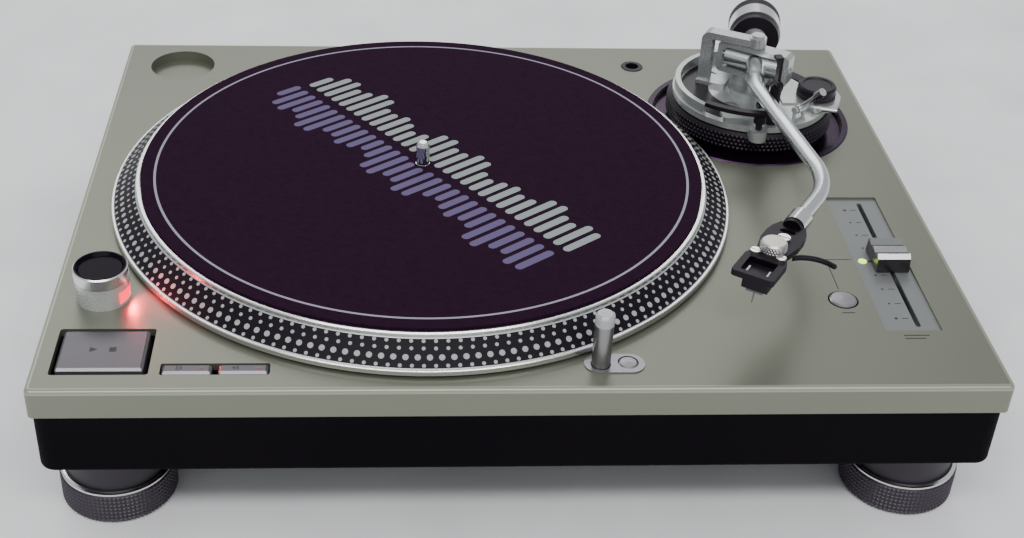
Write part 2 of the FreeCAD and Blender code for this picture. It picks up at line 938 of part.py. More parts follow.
def pitch_panel():
    top = pitch_floor_z()
    low = top - pitch_panel_thickness
    solid = block(pitch_x, pitch_y, pitch_width, pitch_length, low, top)
    slot = 2 * pitch_travel + pitch_stem_length + 8
    solid = solid.cut(stadium_y(pitch_slot_x, pitch_y, pitch_slot_width, slot, low - 1, top + 1))
    return solid.cut(cyl(pitch_lamp_radius, low - 1, top + 1, pitch_lamp_x, pitch_y))


def stadium_y(x, y, width, length, z0, z1):
    solid = stadium(0, 0, length, width, z0, z1)
    solid.rotate(vec(0, 0), vec(0, 0, 1), 90)
    solid.translate(vec(x, y))
    return solid


def pitch_potentiometer():
    top = pitch_floor_z() - pitch_panel_thickness
    low = top - pot_height
    length = 2 * pitch_travel + pitch_stem_length + pot_end
    solid = block(pitch_slot_x, pitch_y, pot_width, length, low, top)
    channel = pitch_stem_width + pot_play
    inner = length - 2 * pot_wall
    return solid.cut(block(pitch_slot_x, pitch_y, channel, inner, low + pot_floor, top + 1))


def pitch_knob():
    low = pitch_floor_z() + slide_clearance
    top = low + pitch_knob_height
    half = pitch_knob_length / 2
    dip = pitch_knob_dip
    ridge = top - dip + pitch_ridge_rise
    outline = [
        (-half, low), (half, low), (half - pitch_skirt_slope, top - pitch_skirt_drop),
        (half - pitch_top_inset, top), (pitch_dip_half, top - dip), (pitch_ridge_half, ridge),
        (-pitch_ridge_half, ridge), (-pitch_dip_half, top - dip), (-half + pitch_top_inset, top),
        (-half + pitch_skirt_slope, top - pitch_skirt_drop),
    ]
    x0 = pitch_slot_x - pitch_knob_width / 2
    wire = Part.makePolygon([vec(x0, pitch_y + y, z) for y, z in outline + outline[:1]])
    solid = Part.Face(wire).extrude(vec(pitch_knob_width, 0))
    stem_low = low - pitch_panel_thickness - pitch_stem_drop
    stem = block(pitch_slot_x, pitch_y, pitch_stem_width, pitch_stem_length, stem_low, low + 1)
    return solid.fuse(stem)


def pitch_lamp():
    top = pitch_floor_z() + pitch_lamp_rise
    return cyl(pitch_lamp_radius, top - pitch_lamp_height, top, pitch_lamp_x, pitch_y)


def headshell_socket():
    low = deck_z - socket_depth
    rim = deck_z + socket_rim_height
    outer = socket_radius + socket_rim
    profile = [
        (0, low - socket_floor), (socket_radius, low - socket_floor), (socket_radius, deck_z),
        (outer, deck_z), (outer - socket_rim_bevel, rim), (socket_bore_radius, rim),
        (socket_bore_radius, low), (0, low),
    ]
    return turned(profile, socket_x, socket_y)


# --- Tonearm base -------------------------------------------------------------------------------

def at_pivot(shape):
    moved = shape.copy()
    moved.translate(vec(pivot_x, pivot_y))
    return moved


def around_pivot(angle, distance):
    """Place at a distance from the pivot, with the angle turned to the left of the front."""
    return vec(pivot_x, pivot_y) + heading(angle) * distance


def arm_well_ring():
    top = deck_z + well_rim_height
    inner = well_radius - well_rim_width
    floor = deck_z - well_floor_depth
    low = floor - well_plate_thickness
    seat = height_ring_radius - well_seat_inset
    profile = [
        (0, low), (inner, low), (inner, deck_z), (well_radius, deck_z),
        (well_radius - well_rim_bevel, top), (inner + well_inner_bevel, top),
        (inner - well_wall_slope, floor), (seat, floor), (seat, deck_z + well_seat_rise),
        (0, deck_z + well_seat_rise),
    ]
    return turned(profile, pivot_x, pivot_y)


def height_ring():
    low = deck_z + height_ring_bottom
    top = low + height_ring_height
    outer = height_ring_radius
    bevel = height_ring_bevel
    profile = [
        (height_ring_bore, low), (outer - bevel, low), (outer - bevel, low + bevel),
        (outer, low + height_ring_step), (outer, top - bevel), (outer - bevel, top),
        (height_ring_bore, top),
    ]
    return turned(profile, pivot_x, pivot_y)


def lift_bore_z():
    """Floor of the bore that the lift's stem slides in, a millimetre above the height ring's gap."""
    return deck_z + height_ring_bottom + height_ring_height + gap + 1


def arm_base():
    low = deck_z + arm_base_bottom
    top = arm_top_z
    disc = cyl(arm_base_radius, low, top)
    column_low = deck_z + arm_base_column_gap
    disc = disc.fuse(cyl(arm_base_column_radius, column_low, low))
    lobe_high = top + skate_lobe_rise
    disc = disc.fuse(cyl(skate_lobe_radius, low, lobe_high, skate_lobe_x, skate_lobe_y))
    neck_x = skate_lobe_x - skate_neck_offset
    arm = block(neck_x, skate_lobe_y, skate_neck_width, skate_neck_depth, low, lobe_high)
    disc = disc.fuse(arm)
    outer = arm_base_radius - 1
    wall = ring(outer, outer - arm_base_wall, top - 1, top + arm_base_wall_height)
    keep = plate(arm_wall_outline, top - 1, top + arm_base_wall_height)
    disc = disc.fuse(wall.common(keep))
    reach = weight_sweep_size
    swept = box(weight_sweep_left, reach, weight_sweep_front, reach, low - 0.1, top + reach)
    swept = swept.cut(cyl(weight_sweep_radius, low - 1, top + reach + 1))
    disc = disc.cut(swept)
    pad = rounded_block(arm_base_pad_x, arm_base_pad_y, arm_base_pad_width, arm_base_pad_depth,
                        top - 1, top + arm_base_boss_rise, 2)
    disc = disc.fuse(pad)
    x = arm_base_pocket_x
    y = arm_base_pocket_y
    width = arm_base_pocket_width
    pocket = cyl(arm_base_pocket_radius, low, top + 1, x, y)
    disc = disc.cut(pocket.common(block(x, y, width, width, low + 1, top + 1)))
    disc = disc.fuse(cyl(arm_base_boss_radius, top - 1, top + arm_base_boss_rise))
    bore = pivot_pin_radius + running_clearance
    disc = disc.cut(cyl(bore, top - 2, top + 4))
    disc = at_pivot(disc.removeSplitter())
    post = around_pivot(lift_angle, lift_distance)
    lift_low = lift_bore_z() - 1
    column = cyl(lift_post_radius, lift_low, top + lift_post_rise, post.x, post.y)
    lug = box(-lift_post_radius, lift_post_radius, -lift_distance, 2 - arm_base_column_radius, low, top)
    lug.rotate(vec(0, 0), vec(0, 0, 1), -lift_angle)
    disc = disc.fuse(at_pivot(lug)).fuse(column)
    bore = lift_stem_bore + running_clearance
    return disc.cut(cyl(bore, lift_bore_z(), top + lift_post_rise + 1, post.x, post.y))


def bridge_plane(shape):
    """Turn a shape drawn along X about the pivot into the plane of the bridge."""
    moved = shape.copy()
    moved.rotate(vec(0, 0), vec(0, 0, 1), -bridge_angle)
    return at_pivot(moved)


def pivot_bridge():
    low = arm_top_z
    top = deck_z + bridge_top_height
    depth = bridge_depth
    left = -bridge_half_width
    bar = bridge_bar
    column = box(left - bar / 2, left + bar / 2, -depth / 2, depth / 2, low, top)
    beam = box(left, 0, -depth / 2, depth / 2, top - bridge_beam_depth, top)
    frame = column.fuse(beam).removeSplitter()
    corner = [e for e in frame.Edges if abs(e.Vertexes[0].X - (left - bar / 2)) < 0.01
              and abs(e.Vertexes[-1].X - (left - bar / 2)) < 0.01
              and e.BoundBox.ZMin > top - 0.01]
    frame = frame.makeFillet(bar - bridge_corner_inset, corner)
    boss_low = top - bridge_beam_depth
    frame = frame.fuse(cyl(pivot_boss_radius, boss_low, top + pivot_boss_rise))
    frame = frame.fuse(cyl(pivot_boss_radius - pivot_boss_step, top + 1, top + pivot_boss_top))
    pin_bore = pivot_pin_radius + running_clearance
    frame = frame.cut(cyl(pin_bore, boss_low - 1, top - 0.5))
    foot_half = depth / 2 + bridge_foot_edge
    right = left + bridge_foot_reach
    foot_plate = box(left - bar / 2, right, -foot_half, foot_half, low, low + bridge_foot_height)
    frame = frame.fuse(foot_plate)
    return bridge_plane(frame)


def gimbal_plane(shape):
    """Turn a shape drawn along X about the pivot so that X is the tilt axis."""
    moved = shape.copy()
    moved.rotate(vec(0, 0), vec(0, 0, 1), -shell_angle)
    return at_pivot(moved)


def gimbal_ring():
    low = pivot_z - gimbal_half_height
    top = pivot_z + gimbal_half_height
    width = gimbal_half_width
    outer = box(-width, width, -gimbal_depth / 2, gimbal_depth / 2, low, top)
    along_y = [e for e in outer.Edges if abs(e.tangentAt(e.FirstParameter).y) > 0.99]
    outer = outer.makeFillet(3.0, along_y)
    bar = gimbal_bar
    inner = box(-width + bar, width - bar, -gimbal_depth, gimbal_depth, low + bar, top - bar)
    along_y = [e for e in inner.Edges if abs(e.tangentAt(e.FirstParameter).y) > 0.99]
    solid = outer.cut(inner.makeFillet(2.0, along_y))
    bore = pivot_pin_radius + running_clearance
    solid = solid.cut(rod(bore, vec(-width - 1, 0, pivot_z), vec(width + 1, 0, pivot_z)))
    return gimbal_plane(solid)


def gimbal_pivots():
    low = pivot_z - gimbal_half_height
    top = pivot_z + gimbal_half_height
    boss_low = deck_z + bridge_top_height - 4.2
    upper = cyl(pivot_pin_radius, top - 1.0, boss_low + 2.5).fuse(cyl(4, top - 0.5, top + 0.1))
    lower = cyl(pivot_pin_radius, arm_top_z + 1.0, low + 1.0).fuse(cyl(4, low - 2.0, low + 0.5))
    ring_cut = gimbal_ring()
    pins = [at_pivot(upper).cut(ring_cut), at_pivot(lower).cut(ring_cut)]
    return pins


def tube_points():
    """Corners of the tube's path from the pivot: first bend, second bend, headshell face."""
    first = heading(parked_angle) * first_bend_distance
    face = heading(parked_angle) * effective_length - heading(shell_angle) * headshell_reach
    along = heading(-tube_out_angle)
    back = heading(shell_angle) * -1
    span = face - first
    cross = along.x * back.y - along.y * back.x
    reach = (span.x * back.y - span.y * back.x) / cross
    return first, first + along * reach, face


def rest_tube_place(distance):
    """Place of the tube's middle, from the pivot, at a distance past the first bend."""
    first = tube_points()[0]
    return first + heading(-tube_out_angle) * (distance - first_bend_distance)


def parked_tube_z(distance):
    return pivot_z + distance * sin(radians(parked_lift))


def right_of_tube(distance, offset):
    side = vec(cos(radians(tube_out_angle)), sin(radians(tube_out_angle)))
    return vec(pivot_x, pivot_y) + rest_tube_place(distance) + side * offset


def rest_post_offset():
    return tube_radius + rest_post_radius + rest_side_gap


def clip_hinge_z():
    return parked_tube_z(rest_distance) + tube_radius + 2.2


def arm_rest():
    place = right_of_tube(rest_distance, rest_post_offset())
    shelf_z = parked_tube_z(rest_distance) - tube_radius - rest_drop
    hinge_z = clip_hinge_z()
    column = cyl(rest_post_radius, arm_top_z, hinge_z - 2.4, place.x, place.y)
    tip = right_of_tube(rest_distance, -1.0)
    shelf = rod(2.0, vec(place.x, place.y, shelf_z - 2.0), vec(tip.x, tip.y, shelf_z - 2.0))
    along = heading(-tube_out_angle)
    ear = rod(2.0, place_z(place, hinge_z) + along * (clip_width / 2 + 0.3),
              place_z(place, hinge_z) + along * (clip_width / 2 + 1.8))
    strut = rod(1.0, place_z(place, hinge_z - 3.4) + along * (clip_width / 2 + 1.0),
                place_z(place, hinge_z) + along * (clip_width / 2 + 1.0))
    brace_start = place_z(place, hinge_z - 3.6)
    brace = rod(1.2, brace_start, brace_start + along * (clip_width / 2 + 1.0))
    pin = rod(clip_pin_radius, place_z(place, hinge_z) - along * clip_width / 2,
              place_z(place, hinge_z) + along * (clip_width / 2 + 1.0))
    return column.fuse(shelf).fuse(ear).fuse(strut).fuse(brace).fuse(pin)


def place_z(place, z):
    return vec(place.x, place.y, z)


def arm_clip():
    place = right_of_tube(rest_distance, rest_post_offset())
    half = clip_width / 2
    barrel = Part.makeCylinder(2.0, clip_width, vec(0, -half, 0), vec(0, 1, 0))
    arm = box(-clip_thickness / 2, clip_thickness / 2, -half, half, 0, clip_length)
    hook = box(-3.4, clip_thickness / 2, -half, half, clip_length - clip_thickness, clip_length)
    solid = barrel.fuse(arm).fuse(hook)
    bore = clip_pin_radius + running_clearance
    solid = solid.cut(Part.makeCylinder(bore, clip_width + 2, vec(0, -half - 1, 0), vec(0, 1, 0)))
    solid.rotate(vec(0, 0), vec(0, 0, 1), tube_out_angle)
    solid.translate(place_z(place, clip_hinge_z()))
    return solid


def lift_top_z():
    return parked_tube_z(lift_distance) - tube_radius - lift_drop


def lift_platform():
    place = around_pivot(lift_angle, lift_distance)
    top = lift_top_z()
    low = top - lift_bar_thickness
    half = lift_bar_width / 2
    bar = ring(lift_distance + half, lift_distance - half, low, top, pivot_x, pivot_y)
    reach = lift_distance * 1.6
    corners = [(0.0, 0.0)]
    for angle in (lift_angle - 4, lift_angle + lift_bar_span / 2, lift_angle + lift_bar_span):
        edge = heading(angle) * reach
        corners.append((edge.x, edge.y))
    bar = bar.common(at_pivot(plate(corners, low, top)))
    column_top = arm_top_z + 3
    sleeve = cyl(3.4, column_top + lift_travel + slide_clearance, low + 0.5, place.x, place.y)
    stem_low = lift_bore_z() + lift_travel + slide_clearance
    stem = cyl(2.0, stem_low, low + 0.5, place.x, place.y)
    return bar.fuse(sleeve).fuse(stem)


def cue_lever():
    place = around_pivot(cue_angle, cue_distance)
    z = arm_top_z + cue_hinge_rise
    level = heading(cue_angle)
    rise = radians(cue_lever_rise)
    along = level * cos(rise) + vec(0, 0, 1) * sin(rise)
    start = place_z(place, z)
    end = start + along * cue_lever_length
    side = vec(-level.y, level.x)
    barrel = rod(cue_barrel_radius, start - side * cue_barrel_half, start + side * cue_barrel_half)
    lever = barrel.fuse(rod(cue_lever_radius, start, end))
    knob = rod(cue_knob_radius, end - along * cue_knob_length, end)
    lever = lever.fuse(knob)
    bore = cue_pin_radius + running_clearance
    return lever.cut(rod(bore, start - side * 4, start + side * 4))


def cue_bracket():
    """Fork on the base that carries the cue lever's pin."""
    place = around_pivot(cue_angle, cue_distance)
    z = arm_top_z + cue_hinge_rise
    along = heading(cue_angle)
    side = vec(-along.y, along.x)
    start = place_z(place, z)
    pin = rod(cue_pin_radius, start - side * 4, start + side * 4)
    fork = pin
    for sign in (-1, 1):
        foot_at = start + side * (cue_fork_offset * sign)
        fork = fork.fuse(rod(cue_fork_radius, place_z(foot_at, arm_top_z - 0.5), foot_at))
        ear_start = start + side * (cue_ear_start * sign)
        fork = fork.fuse(rod(cue_ear_radius, ear_start, start + side * (cue_ear_end * sign)))
    return fork


def lock_lever():
    place = around_pivot(lock_angle, lock_distance)
    low = arm_top_z + slide_clearance
    hub = cyl(lock_hub_radius, low, low + lock_hub_height, place.x, place.y)
    stem = cyl(lock_stem_radius, arm_top_z - lock_stem_depth, low + 1, place.x, place.y)
    end = place + heading(lock_lever_angle) * lock_lever_length
    z = low + lock_lever_rise
    arm = rod(lock_lever_radius, place_z(place, z), place_z(end, z))
    return hub.fuse(stem).fuse(arm)


def anti_skate_dial():
    x = pivot_x + skate_lobe_x
    y = pivot_y + skate_lobe_y
    low = arm_top_z + skate_lobe_rise + slide_clearance
    top = low + skate_dial_height
    r = skate_dial_radius
    rim = r - skate_dial_rim - 1.5
    profile = [
        (0, low - skate_pin_length), (skate_pin_radius, low - skate_pin_length), (skate_pin_radius, low),
        (r, low), (r, top - skate_dial_bevel), (r - skate_dial_bevel, top), (rim, top),
        (rim - 0.5, top - skate_dial_dish), (0, top - skate_dial_dish),
    ]
    return turned(profile, x, y)


# --- Tonearm ------------------------------------------------------------------------------------

def tilt_axis():
    """Unit vector of the tilt pivots; a positive turn about it raises the headshell."""
    return vec(-cos(radians(shell_angle)), sin(radians(shell_angle)))


def parked(shape):
    """Place an arm piece that is drawn level at the pivot into its parked tilt."""
    moved = shape.copy()
    moved.translate(vec(pivot_x, pivot_y, pivot_z))
    moved.rotate(vec(pivot_x, pivot_y, pivot_z), tilt_axis(), parked_lift)
    return moved


def on_shell(shape):
    """Place a piece drawn with the front along -Y from the headshell's face."""
    moved = shape.copy()
    moved.rotate(vec(0, 0), vec(0, 0, 1), -shell_angle)
    moved.translate(tube_points()[2])
    return parked(moved)


def pivot_block():
    across = vec(cos(radians(shell_angle)), -sin(radians(shell_angle)))
    body = rod(block_radius, across * -block_half_length, across * block_half_length)
    pins = rod(pivot_pin_radius, across * -(gimbal_half_width - 0.6), across * (gimbal_half_width - 0.6))
    front = heading(parked_angle)
    cone = Part.makeCone(cone_radius, tube_collar_radius, cone_length - 4, vec(0, 0), front)
    return parked(body.fuse(pins).fuse(cone))


def arm_tube():
    first, second, face = tube_points()
    start = heading(parked_angle) * (cone_length - 4)
    d0 = heading(parked_angle)
    d1 = heading(-tube_out_angle)
    d2 = heading(shell_angle)
    edges = []
    here = start
    for corner, before, after, radius in (
        (first, d0, d1, first_bend_radius), (second, d1, d2, second_bend_radius),
    ):
        half_turn = acos(before.dot(after)) / 2
        reach = radius * tan(half_turn)
        bend_in = corner - before * reach
        bend_out = corner + after * reach
        inward = (after - before).normalize()
        middle = corner + inward * (radius / cos(half_turn) - radius)
        edges.append(Part.LineSegment(here, bend_in).toShape())
        edges.append(Part.Arc(bend_in, middle, bend_out).toShape())
        here = bend_out
    end = face - d2 * 0.4
    edges.append(Part.LineSegment(here, end).toShape())
    profile = Part.Wire([Part.makeCircle(tube_radius, start, d0)])
    tube = Part.Wire(edges).makePipeShell([profile], True, False)
    collar = rod(tube_collar_radius, start, start + d0 * 5)
    bore = rod(tube_radius - 0.9, face - d2 * 9, face)
    return parked(tube.fuse(collar).cut(bore))


def lock_collar():
    face = tube_points()[2]
    d2 = heading(shell_angle)
    start = face - d2 * (lock_collar_length + slide_clearance)
    end = face - d2 * slide_clearance
    solid = rod(lock_collar_radius, start, end)
    solid = solid.cut(rod(tube_radius + running_clearance, start - d2, end + d2))
    return parked(solid)


def headshell():
    half = shell_half_width
    neck = shell_neck_half_width
    waist = shell_waist_half_width
    nose = shell_nose_half_width
    length = shell_length
    right_side = [
        (neck, 0), (half - 0.8, shell_shoulder_y), (half, shell_side_back_y),
        (half, shell_side_front_y), (waist, shell_waist_y), (nose, shell_nose_y),
        (nose, -length + shell_nose_bevel), (nose - shell_nose_bevel, -length),
    ]
    outline = right_side + [(-x, y) for x, y in reversed(right_side)]
    low = -shell_thickness / 2
    solid = plate(outline, low, low + shell_thickness)
    window_y = -length + shell_window_inset + shell_window_length / 2
    window = rounded_block(0, window_y, shell_window_width, shell_window_length, low - 1, 4, 1.0)
    slot = stadium(0, shell_slot_y, shell_slot_length, shell_slot_width, low - 1, 4)
    solid = solid.cut(window).cut(slot)
    for side in (-1, 1):
        hole = cyl(shell_screw_hole, low - 1, 4, side * shell_screw_spacing / 2, shell_screw_y)
        solid = solid.cut(hole)
    plug = rod(tube_radius - plug_step, vec(0, -1), vec(0, plug_length))
    flange = rod(lock_collar_radius - flange_step, vec(0, -flange_length), vec(0, 0))
    return on_shell(solid.fuse(flange).fuse(plug))


def finger_lift():
    half = shell_half_width
    start = vec(half, finger_root_y)
    end = vec(half + finger_tip_x, finger_tip_y)
    arc = Part.Arc(start, vec(half + finger_bend_x, finger_bend_y), end).toShape()
    tangent = arc.tangentAt(arc.FirstParameter)
    profile = Part.Wire([Part.makeCircle(finger_radius, start, tangent)])
    bar = Part.Wire([arc]).makePipeShell([profile], True, False)
    tip = Part.makeSphere(finger_radius, end)
    return on_shell(bar.fuse(tip).cut(block(half - 5, finger_root_y, 10, 20, -3, 3)))


def headshell_screws():
    top = shell_thickness / 2
    screws = []
    for side in (-1, 1):
        x = side * shell_screw_spacing / 2
        y = shell_screw_y
        shank = cyl(shell_screw_radius, -shell_thickness / 2 - 4, top, x, y)
        head = cyl(shell_screw_head, top, top + shell_screw_rise, x, y)
        head = head.cut(block(x, y, 5, 0.7, top + 0.9, top + 2))
        screws.append(on_shell(shank.fuse(head)))
    x = plug_screw_x
    y = plug_screw_y
    head = cyl(plug_screw_head, top, top + plug_screw_rise, x, y)
    head = head.cut(block(x, y, 7, 0.9, top + 1, top + 3))
    screws.append(on_shell(head))
    return screws


def shell_weight():
    top = shell_thickness / 2
    r = shell_weight_radius
    profile = [
        (0, top), (r, top), (r, top + shell_weight_height - 0.8), (r - 0.8, top + shell_weight_height),
        (0, top + shell_weight_height),
    ]
    return on_shell(turned(profile, 0, shell_weight_y))


def cartridge():
    low = -shell_thickness / 2
    back = cartridge_back
    front = back - cartridge_length
    half = cartridge_width / 2
    step = low - cartridge_flange_height
    body = box(-half, half, front, back, step, low)
    inner = half - cartridge_side_step
    end_step = cartridge_end_step
    lower = box(-inner, inner, front + end_step, back - end_step, low - cartridge_height, step)
    solid = body.fuse(lower)
    for side in (-1, 1):
        x = side * shell_screw_spacing / 2
        solid = solid.cut(cyl(shell_screw_radius, step - 1, low + 1, x, shell_screw_y))
    pin_z = low - cartridge_height * cartridge_pin_share
    for place in (-1.5, -0.5, 0.5, 1.5):
        x = place * cartridge_pin_pitch
        pin_end = vec(x, back + cartridge_pin_length, pin_z)
        pin = rod(cartridge_pin_radius, vec(x, back - 1.5, pin_z), pin_end)
        solid = solid.fuse(pin)
    return on_shell(solid)


def stylus_tip_drop():
    """Depth of the stylus tip below the tube's middle: level arm, tip just above the mat."""
    return pivot_z - mat_top_z - tip_playing_height


def stylus():
    low = -shell_thickness / 2 - cartridge_height
    tip_z = -stylus_tip_drop()
    half = stylus_width / 2
    front = -headshell_reach - stylus_front
    back = front + stylus_length
    outline = [
        (back, low), (front + stylus_lip, low), (front, low - stylus_nose),
        (front + stylus_chin_length, low - stylus_chin), (back, low - stylus_depth),
    ]
    wire = Part.makePolygon([vec(-half, y, z) for y, z in outline + outline[:1]])
    body = Part.Face(wire).extrude(vec(stylus_width, 0))
    root = vec(0, front + 2, low - cantilever_drop)
    cantilever = rod(cantilever_radius, root, vec(0, -headshell_reach, tip_z + 0.9))
    tip = Part.makeCone(tip_radius, cantilever_radius, tip_length, vec(0, -headshell_reach, tip_z))
    return on_shell(body.fuse(cantilever).fuse(tip))


def behind(distance):
    return heading(parked_angle) * -distance


def rear_tube(outer, inner, near, far):
    solid = rod(outer, behind(near), behind(far))
    return parked(solid.cut(rod(inner, behind(near - 1), behind(far + 1))))


def rear_stub():
    return parked(rod(stub_radius, behind(block_radius - 0.6), behind(stub_length)).cut(
        rod(block_radius, vec(cos(radians(shell_angle)), -sin(radians(shell_angle))) * -block_half_length,
            vec(cos(radians(shell_angle)), -sin(radians(shell_angle))) * block_half_length)))


def weight_sleeve():
    far = weight_distance + dial_length + weight_length
    return rear_tube(sleeve_radius, stub_radius + running_clearance, weight_distance, far - 1.0)


def pressure_dial():
    far = weight_distance + dial_length - slide_clearance
    return rear_tube(dial_radius, sleeve_radius + running_clearance, weight_distance, far)


def counterweight():
    near = weight_distance + dial_length
    far = near + weight_length
    body = rear_tube(weight_radius, sleeve_radius + running_clearance, near, far)
    groove_at = far - weight_grip_length
    groove = rear_tube(weight_radius + 1, weight_radius - 0.7, groove_at - 0.8, groove_at)
    return body.cut(groove)


def main():
    os.makedirs("parts", exist_ok=True)
    save("cabinet", cabinet())
    save("rubber_base", rubber_base())
    save("inner_chassis", inner_chassis())
    save("base_screws", *base_screws())
    save("motor_stator", *motor_stator())
    save("spindle_bearing", spindle_bearing())
    save("circuit_board", *circuit_board())
    save("transformer", *transformer())
    save("strobe_tower", strobe_tower())
    save("strobe_window", strobe_window())
    save("switch_housing", *switch_housing())
    save("pitch_panel", pitch_panel())
    save("pitch_potentiometer", pitch_potentiometer())
    save("pitch_lamp", pitch_lamp())
    save("target_light_bezel", target_light_bezel())
    save("arm_well_ring", arm_well_ring())
    save("headshell_socket", headshell_socket())
    save("hinge_sockets", *hinge_sockets())
    save("cord_glands", *cord_glands())
    save("platter", platter())
    save("rotor_magnet", rotor_magnet())
    save("slipmat", slipmat())
    save("spindle", spindle())
    save("power_knob", power_knob())
    save("start_stop_button", start_stop_button())
    save("speed_33_button", speed_button(-1))
    save("speed_45_button", speed_button(1))
    save("target_light_tube", target_light_tube())
    save("target_light_lens", target_light_lens())
    light_button = round_button(light_button_x, light_button_y, light_button_radius, light_button_rise, 0.8)
    save("target_light_button", light_button)
    save("pitch_knob", pitch_knob())
    save("reset_button", round_button(reset_x, reset_y, reset_radius, reset_rise, 0.9))
    save("height_ring", height_ring())
    base = arm_base().fuse(cue_bracket())
    lock = around_pivot(lock_angle, lock_distance)
    base = base.cut(cyl(1.5 + running_clearance, arm_top_z - 3, arm_top_z + 2, lock.x, lock.y))
    dial_x = pivot_x + skate_lobe_x
    dial_y = pivot_y + skate_lobe_y
    base = base.cut(cyl(1.5 + running_clearance, arm_top_z - 2.5, arm_top_z + 3, dial_x, dial_y))
    save("arm_base", base)
    save("pivot_bridge", pivot_bridge())
    save("arm_rest", arm_rest())
    save("arm_clip", arm_clip())
    save("lift_platform", lift_platform())
    save("cue_lever", cue_lever())
    save("lock_lever", lock_lever())
    save("anti_skate_dial", anti_skate_dial())
    save("gimbal_ring", gimbal_ring())
    save("gimbal_pivots", *gimbal_pivots())
    save("pivot_block", pivot_block())
    save("arm_tube", arm_tube())
    save("rear_stub", rear_stub())
    save("lock_collar", lock_collar())
    save("headshell", headshell())
    save("finger_lift", finger_lift())
    save("headshell_screws", *headshell_screws())
    save("shell_weight", shell_weight())
    save("cartridge", cartridge())
    save("stylus", stylus())
    save("weight_sleeve", weight_sleeve())
    save("counterweight", counterweight())
    save("pressure_dial", pressure_dial())
    for name_y, sy in (("front", -1), ("rear", 1)):
        for name_x, sx in (("left", -1), ("right", 1)):
            save("foot_" + name_y + "_" + name_x, foot(sx, sy))


main()
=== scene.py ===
"""Looks of the record player: materials, knurling, strobe dots, slipmat, printed scales and stage.

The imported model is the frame. Each operator dresses one group of pieces and leaves every CAD
piece where it is. All lengths are in metres.
"""
import math

import bmesh
import bpy
from bpy.props import FloatProperty, FloatVectorProperty, IntProperty, PointerProperty
from mathutils import Matrix, Vector


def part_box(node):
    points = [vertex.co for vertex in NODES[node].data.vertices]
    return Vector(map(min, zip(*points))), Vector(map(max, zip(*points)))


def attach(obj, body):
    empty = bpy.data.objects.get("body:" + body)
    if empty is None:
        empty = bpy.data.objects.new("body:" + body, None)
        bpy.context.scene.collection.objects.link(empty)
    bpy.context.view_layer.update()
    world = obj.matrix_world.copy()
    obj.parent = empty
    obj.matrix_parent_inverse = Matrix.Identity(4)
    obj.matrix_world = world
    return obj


bl_info = {
    "name": "Record Player Dressing",
    "version": (1, 0, 0),
    "blender": (4, 5, 0),
    "location": "3D View > Sidebar > Record Player",
    "description": "Dresses the record player's frame with its finishes and fine pieces",
    "category": "Object",
}

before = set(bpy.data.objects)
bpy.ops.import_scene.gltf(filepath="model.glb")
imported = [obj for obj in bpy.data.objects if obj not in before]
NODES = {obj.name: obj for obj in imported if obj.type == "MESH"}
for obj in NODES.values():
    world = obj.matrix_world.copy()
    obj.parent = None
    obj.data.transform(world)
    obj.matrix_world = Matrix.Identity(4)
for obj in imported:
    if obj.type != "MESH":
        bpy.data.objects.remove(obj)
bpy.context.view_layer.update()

MM = 0.001
DECK_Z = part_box("arm_well_ring")[1].z - 0.8 * MM
MAT_LOW, MAT_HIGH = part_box("slipmat")
PLATTER_LOW, PLATTER_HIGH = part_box("platter")
PLATTER_CENTRE = (PLATTER_LOW + PLATTER_HIGH) / 2
SPINDLE_RADIUS = 3.58 * MM
RING_LOW, RING_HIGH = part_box("height_ring")
PIVOT = (RING_LOW + RING_HIGH) / 2
PARKED_ANGLE = math.radians(11.5)
PARKED_LIFT = math.radians(1.2)
SHELL_ANGLE = math.radians(33.5)
TUBE_OUT_ANGLE = math.radians(7.7)
CAMERA_PLACE = (-0.06487, -0.70482, 0.51767)
CAMERA_PITCH = 0.604020
CAMERA_YAW = 0.0658518
CAMERA_ROLL = 0.0364074
CAMERA_SHIFT = (0.0445, 0.0108)
SENSOR_WIDTH = 36.0
DOT_SLOPE_FOOT = Vector((164.8 * MM, DECK_Z + 4.3 * MM))
DOT_SLOPE_TOP = Vector((152.5 * MM, DECK_Z + 13.4 * MM))
BAND_LOW = DECK_Z + 4.6 * MM
BAND_HIGH = DECK_Z + 13.0 * MM
BAND_INNER = 152.2 * MM
KNURL_SINK = 0.05 * MM
INK_SINK = 0.02 * MM
INK_RISE = 0.06 * MM
FEET = ("foot_front_left", "foot_front_right", "foot_rear_left", "foot_rear_right")


# --- Shader helpers -------------------------------------------------------------------------------

class Value:
    """A number socket that takes part in Python arithmetic by adding Math nodes."""

    def __init__(self, shader, socket):
        self.shader = shader
        self.socket = socket

    def math(self, operation, *others):
        return self.shader.node("ShaderNodeMath", {"operation": operation}, [self, *others]).value()

    def __add__(self, other):
        return self.math("ADD", other)

    def __radd__(self, other):
        return self.math("ADD", other)

    def __sub__(self, other):
        return self.math("SUBTRACT", other)

    def __rsub__(self, other):
        return self.math("MULTIPLY_ADD", -1.0, other)

    def __mul__(self, other):
        return self.math("MULTIPLY", other)

    def __rmul__(self, other):
        return self.math("MULTIPLY", other)

    def __truediv__(self, other):
        return self.math("DIVIDE", other)

    def __pow__(self, other):
        return self.math("POWER", other)

    def __lt__(self, other):
        return self.math("LESS_THAN", other)

    def __gt__(self, other):
        return self.math("GREATER_THAN", other)

    def sine(self):
        return self.math("SINE")

    def either(self, other):
        return self.math("MAXIMUM", other)

    def between(self, low, high):
        """One inside the span and zero outside it."""
        return (self > low) * (self < high)


class Made:
    """A node that has been added, with its outputs at hand."""

    def __init__(self, shader, node):
        self.shader = shader
        self.node = node

    def value(self, name=0):
        return Value(self.shader, self.node.outputs[name])


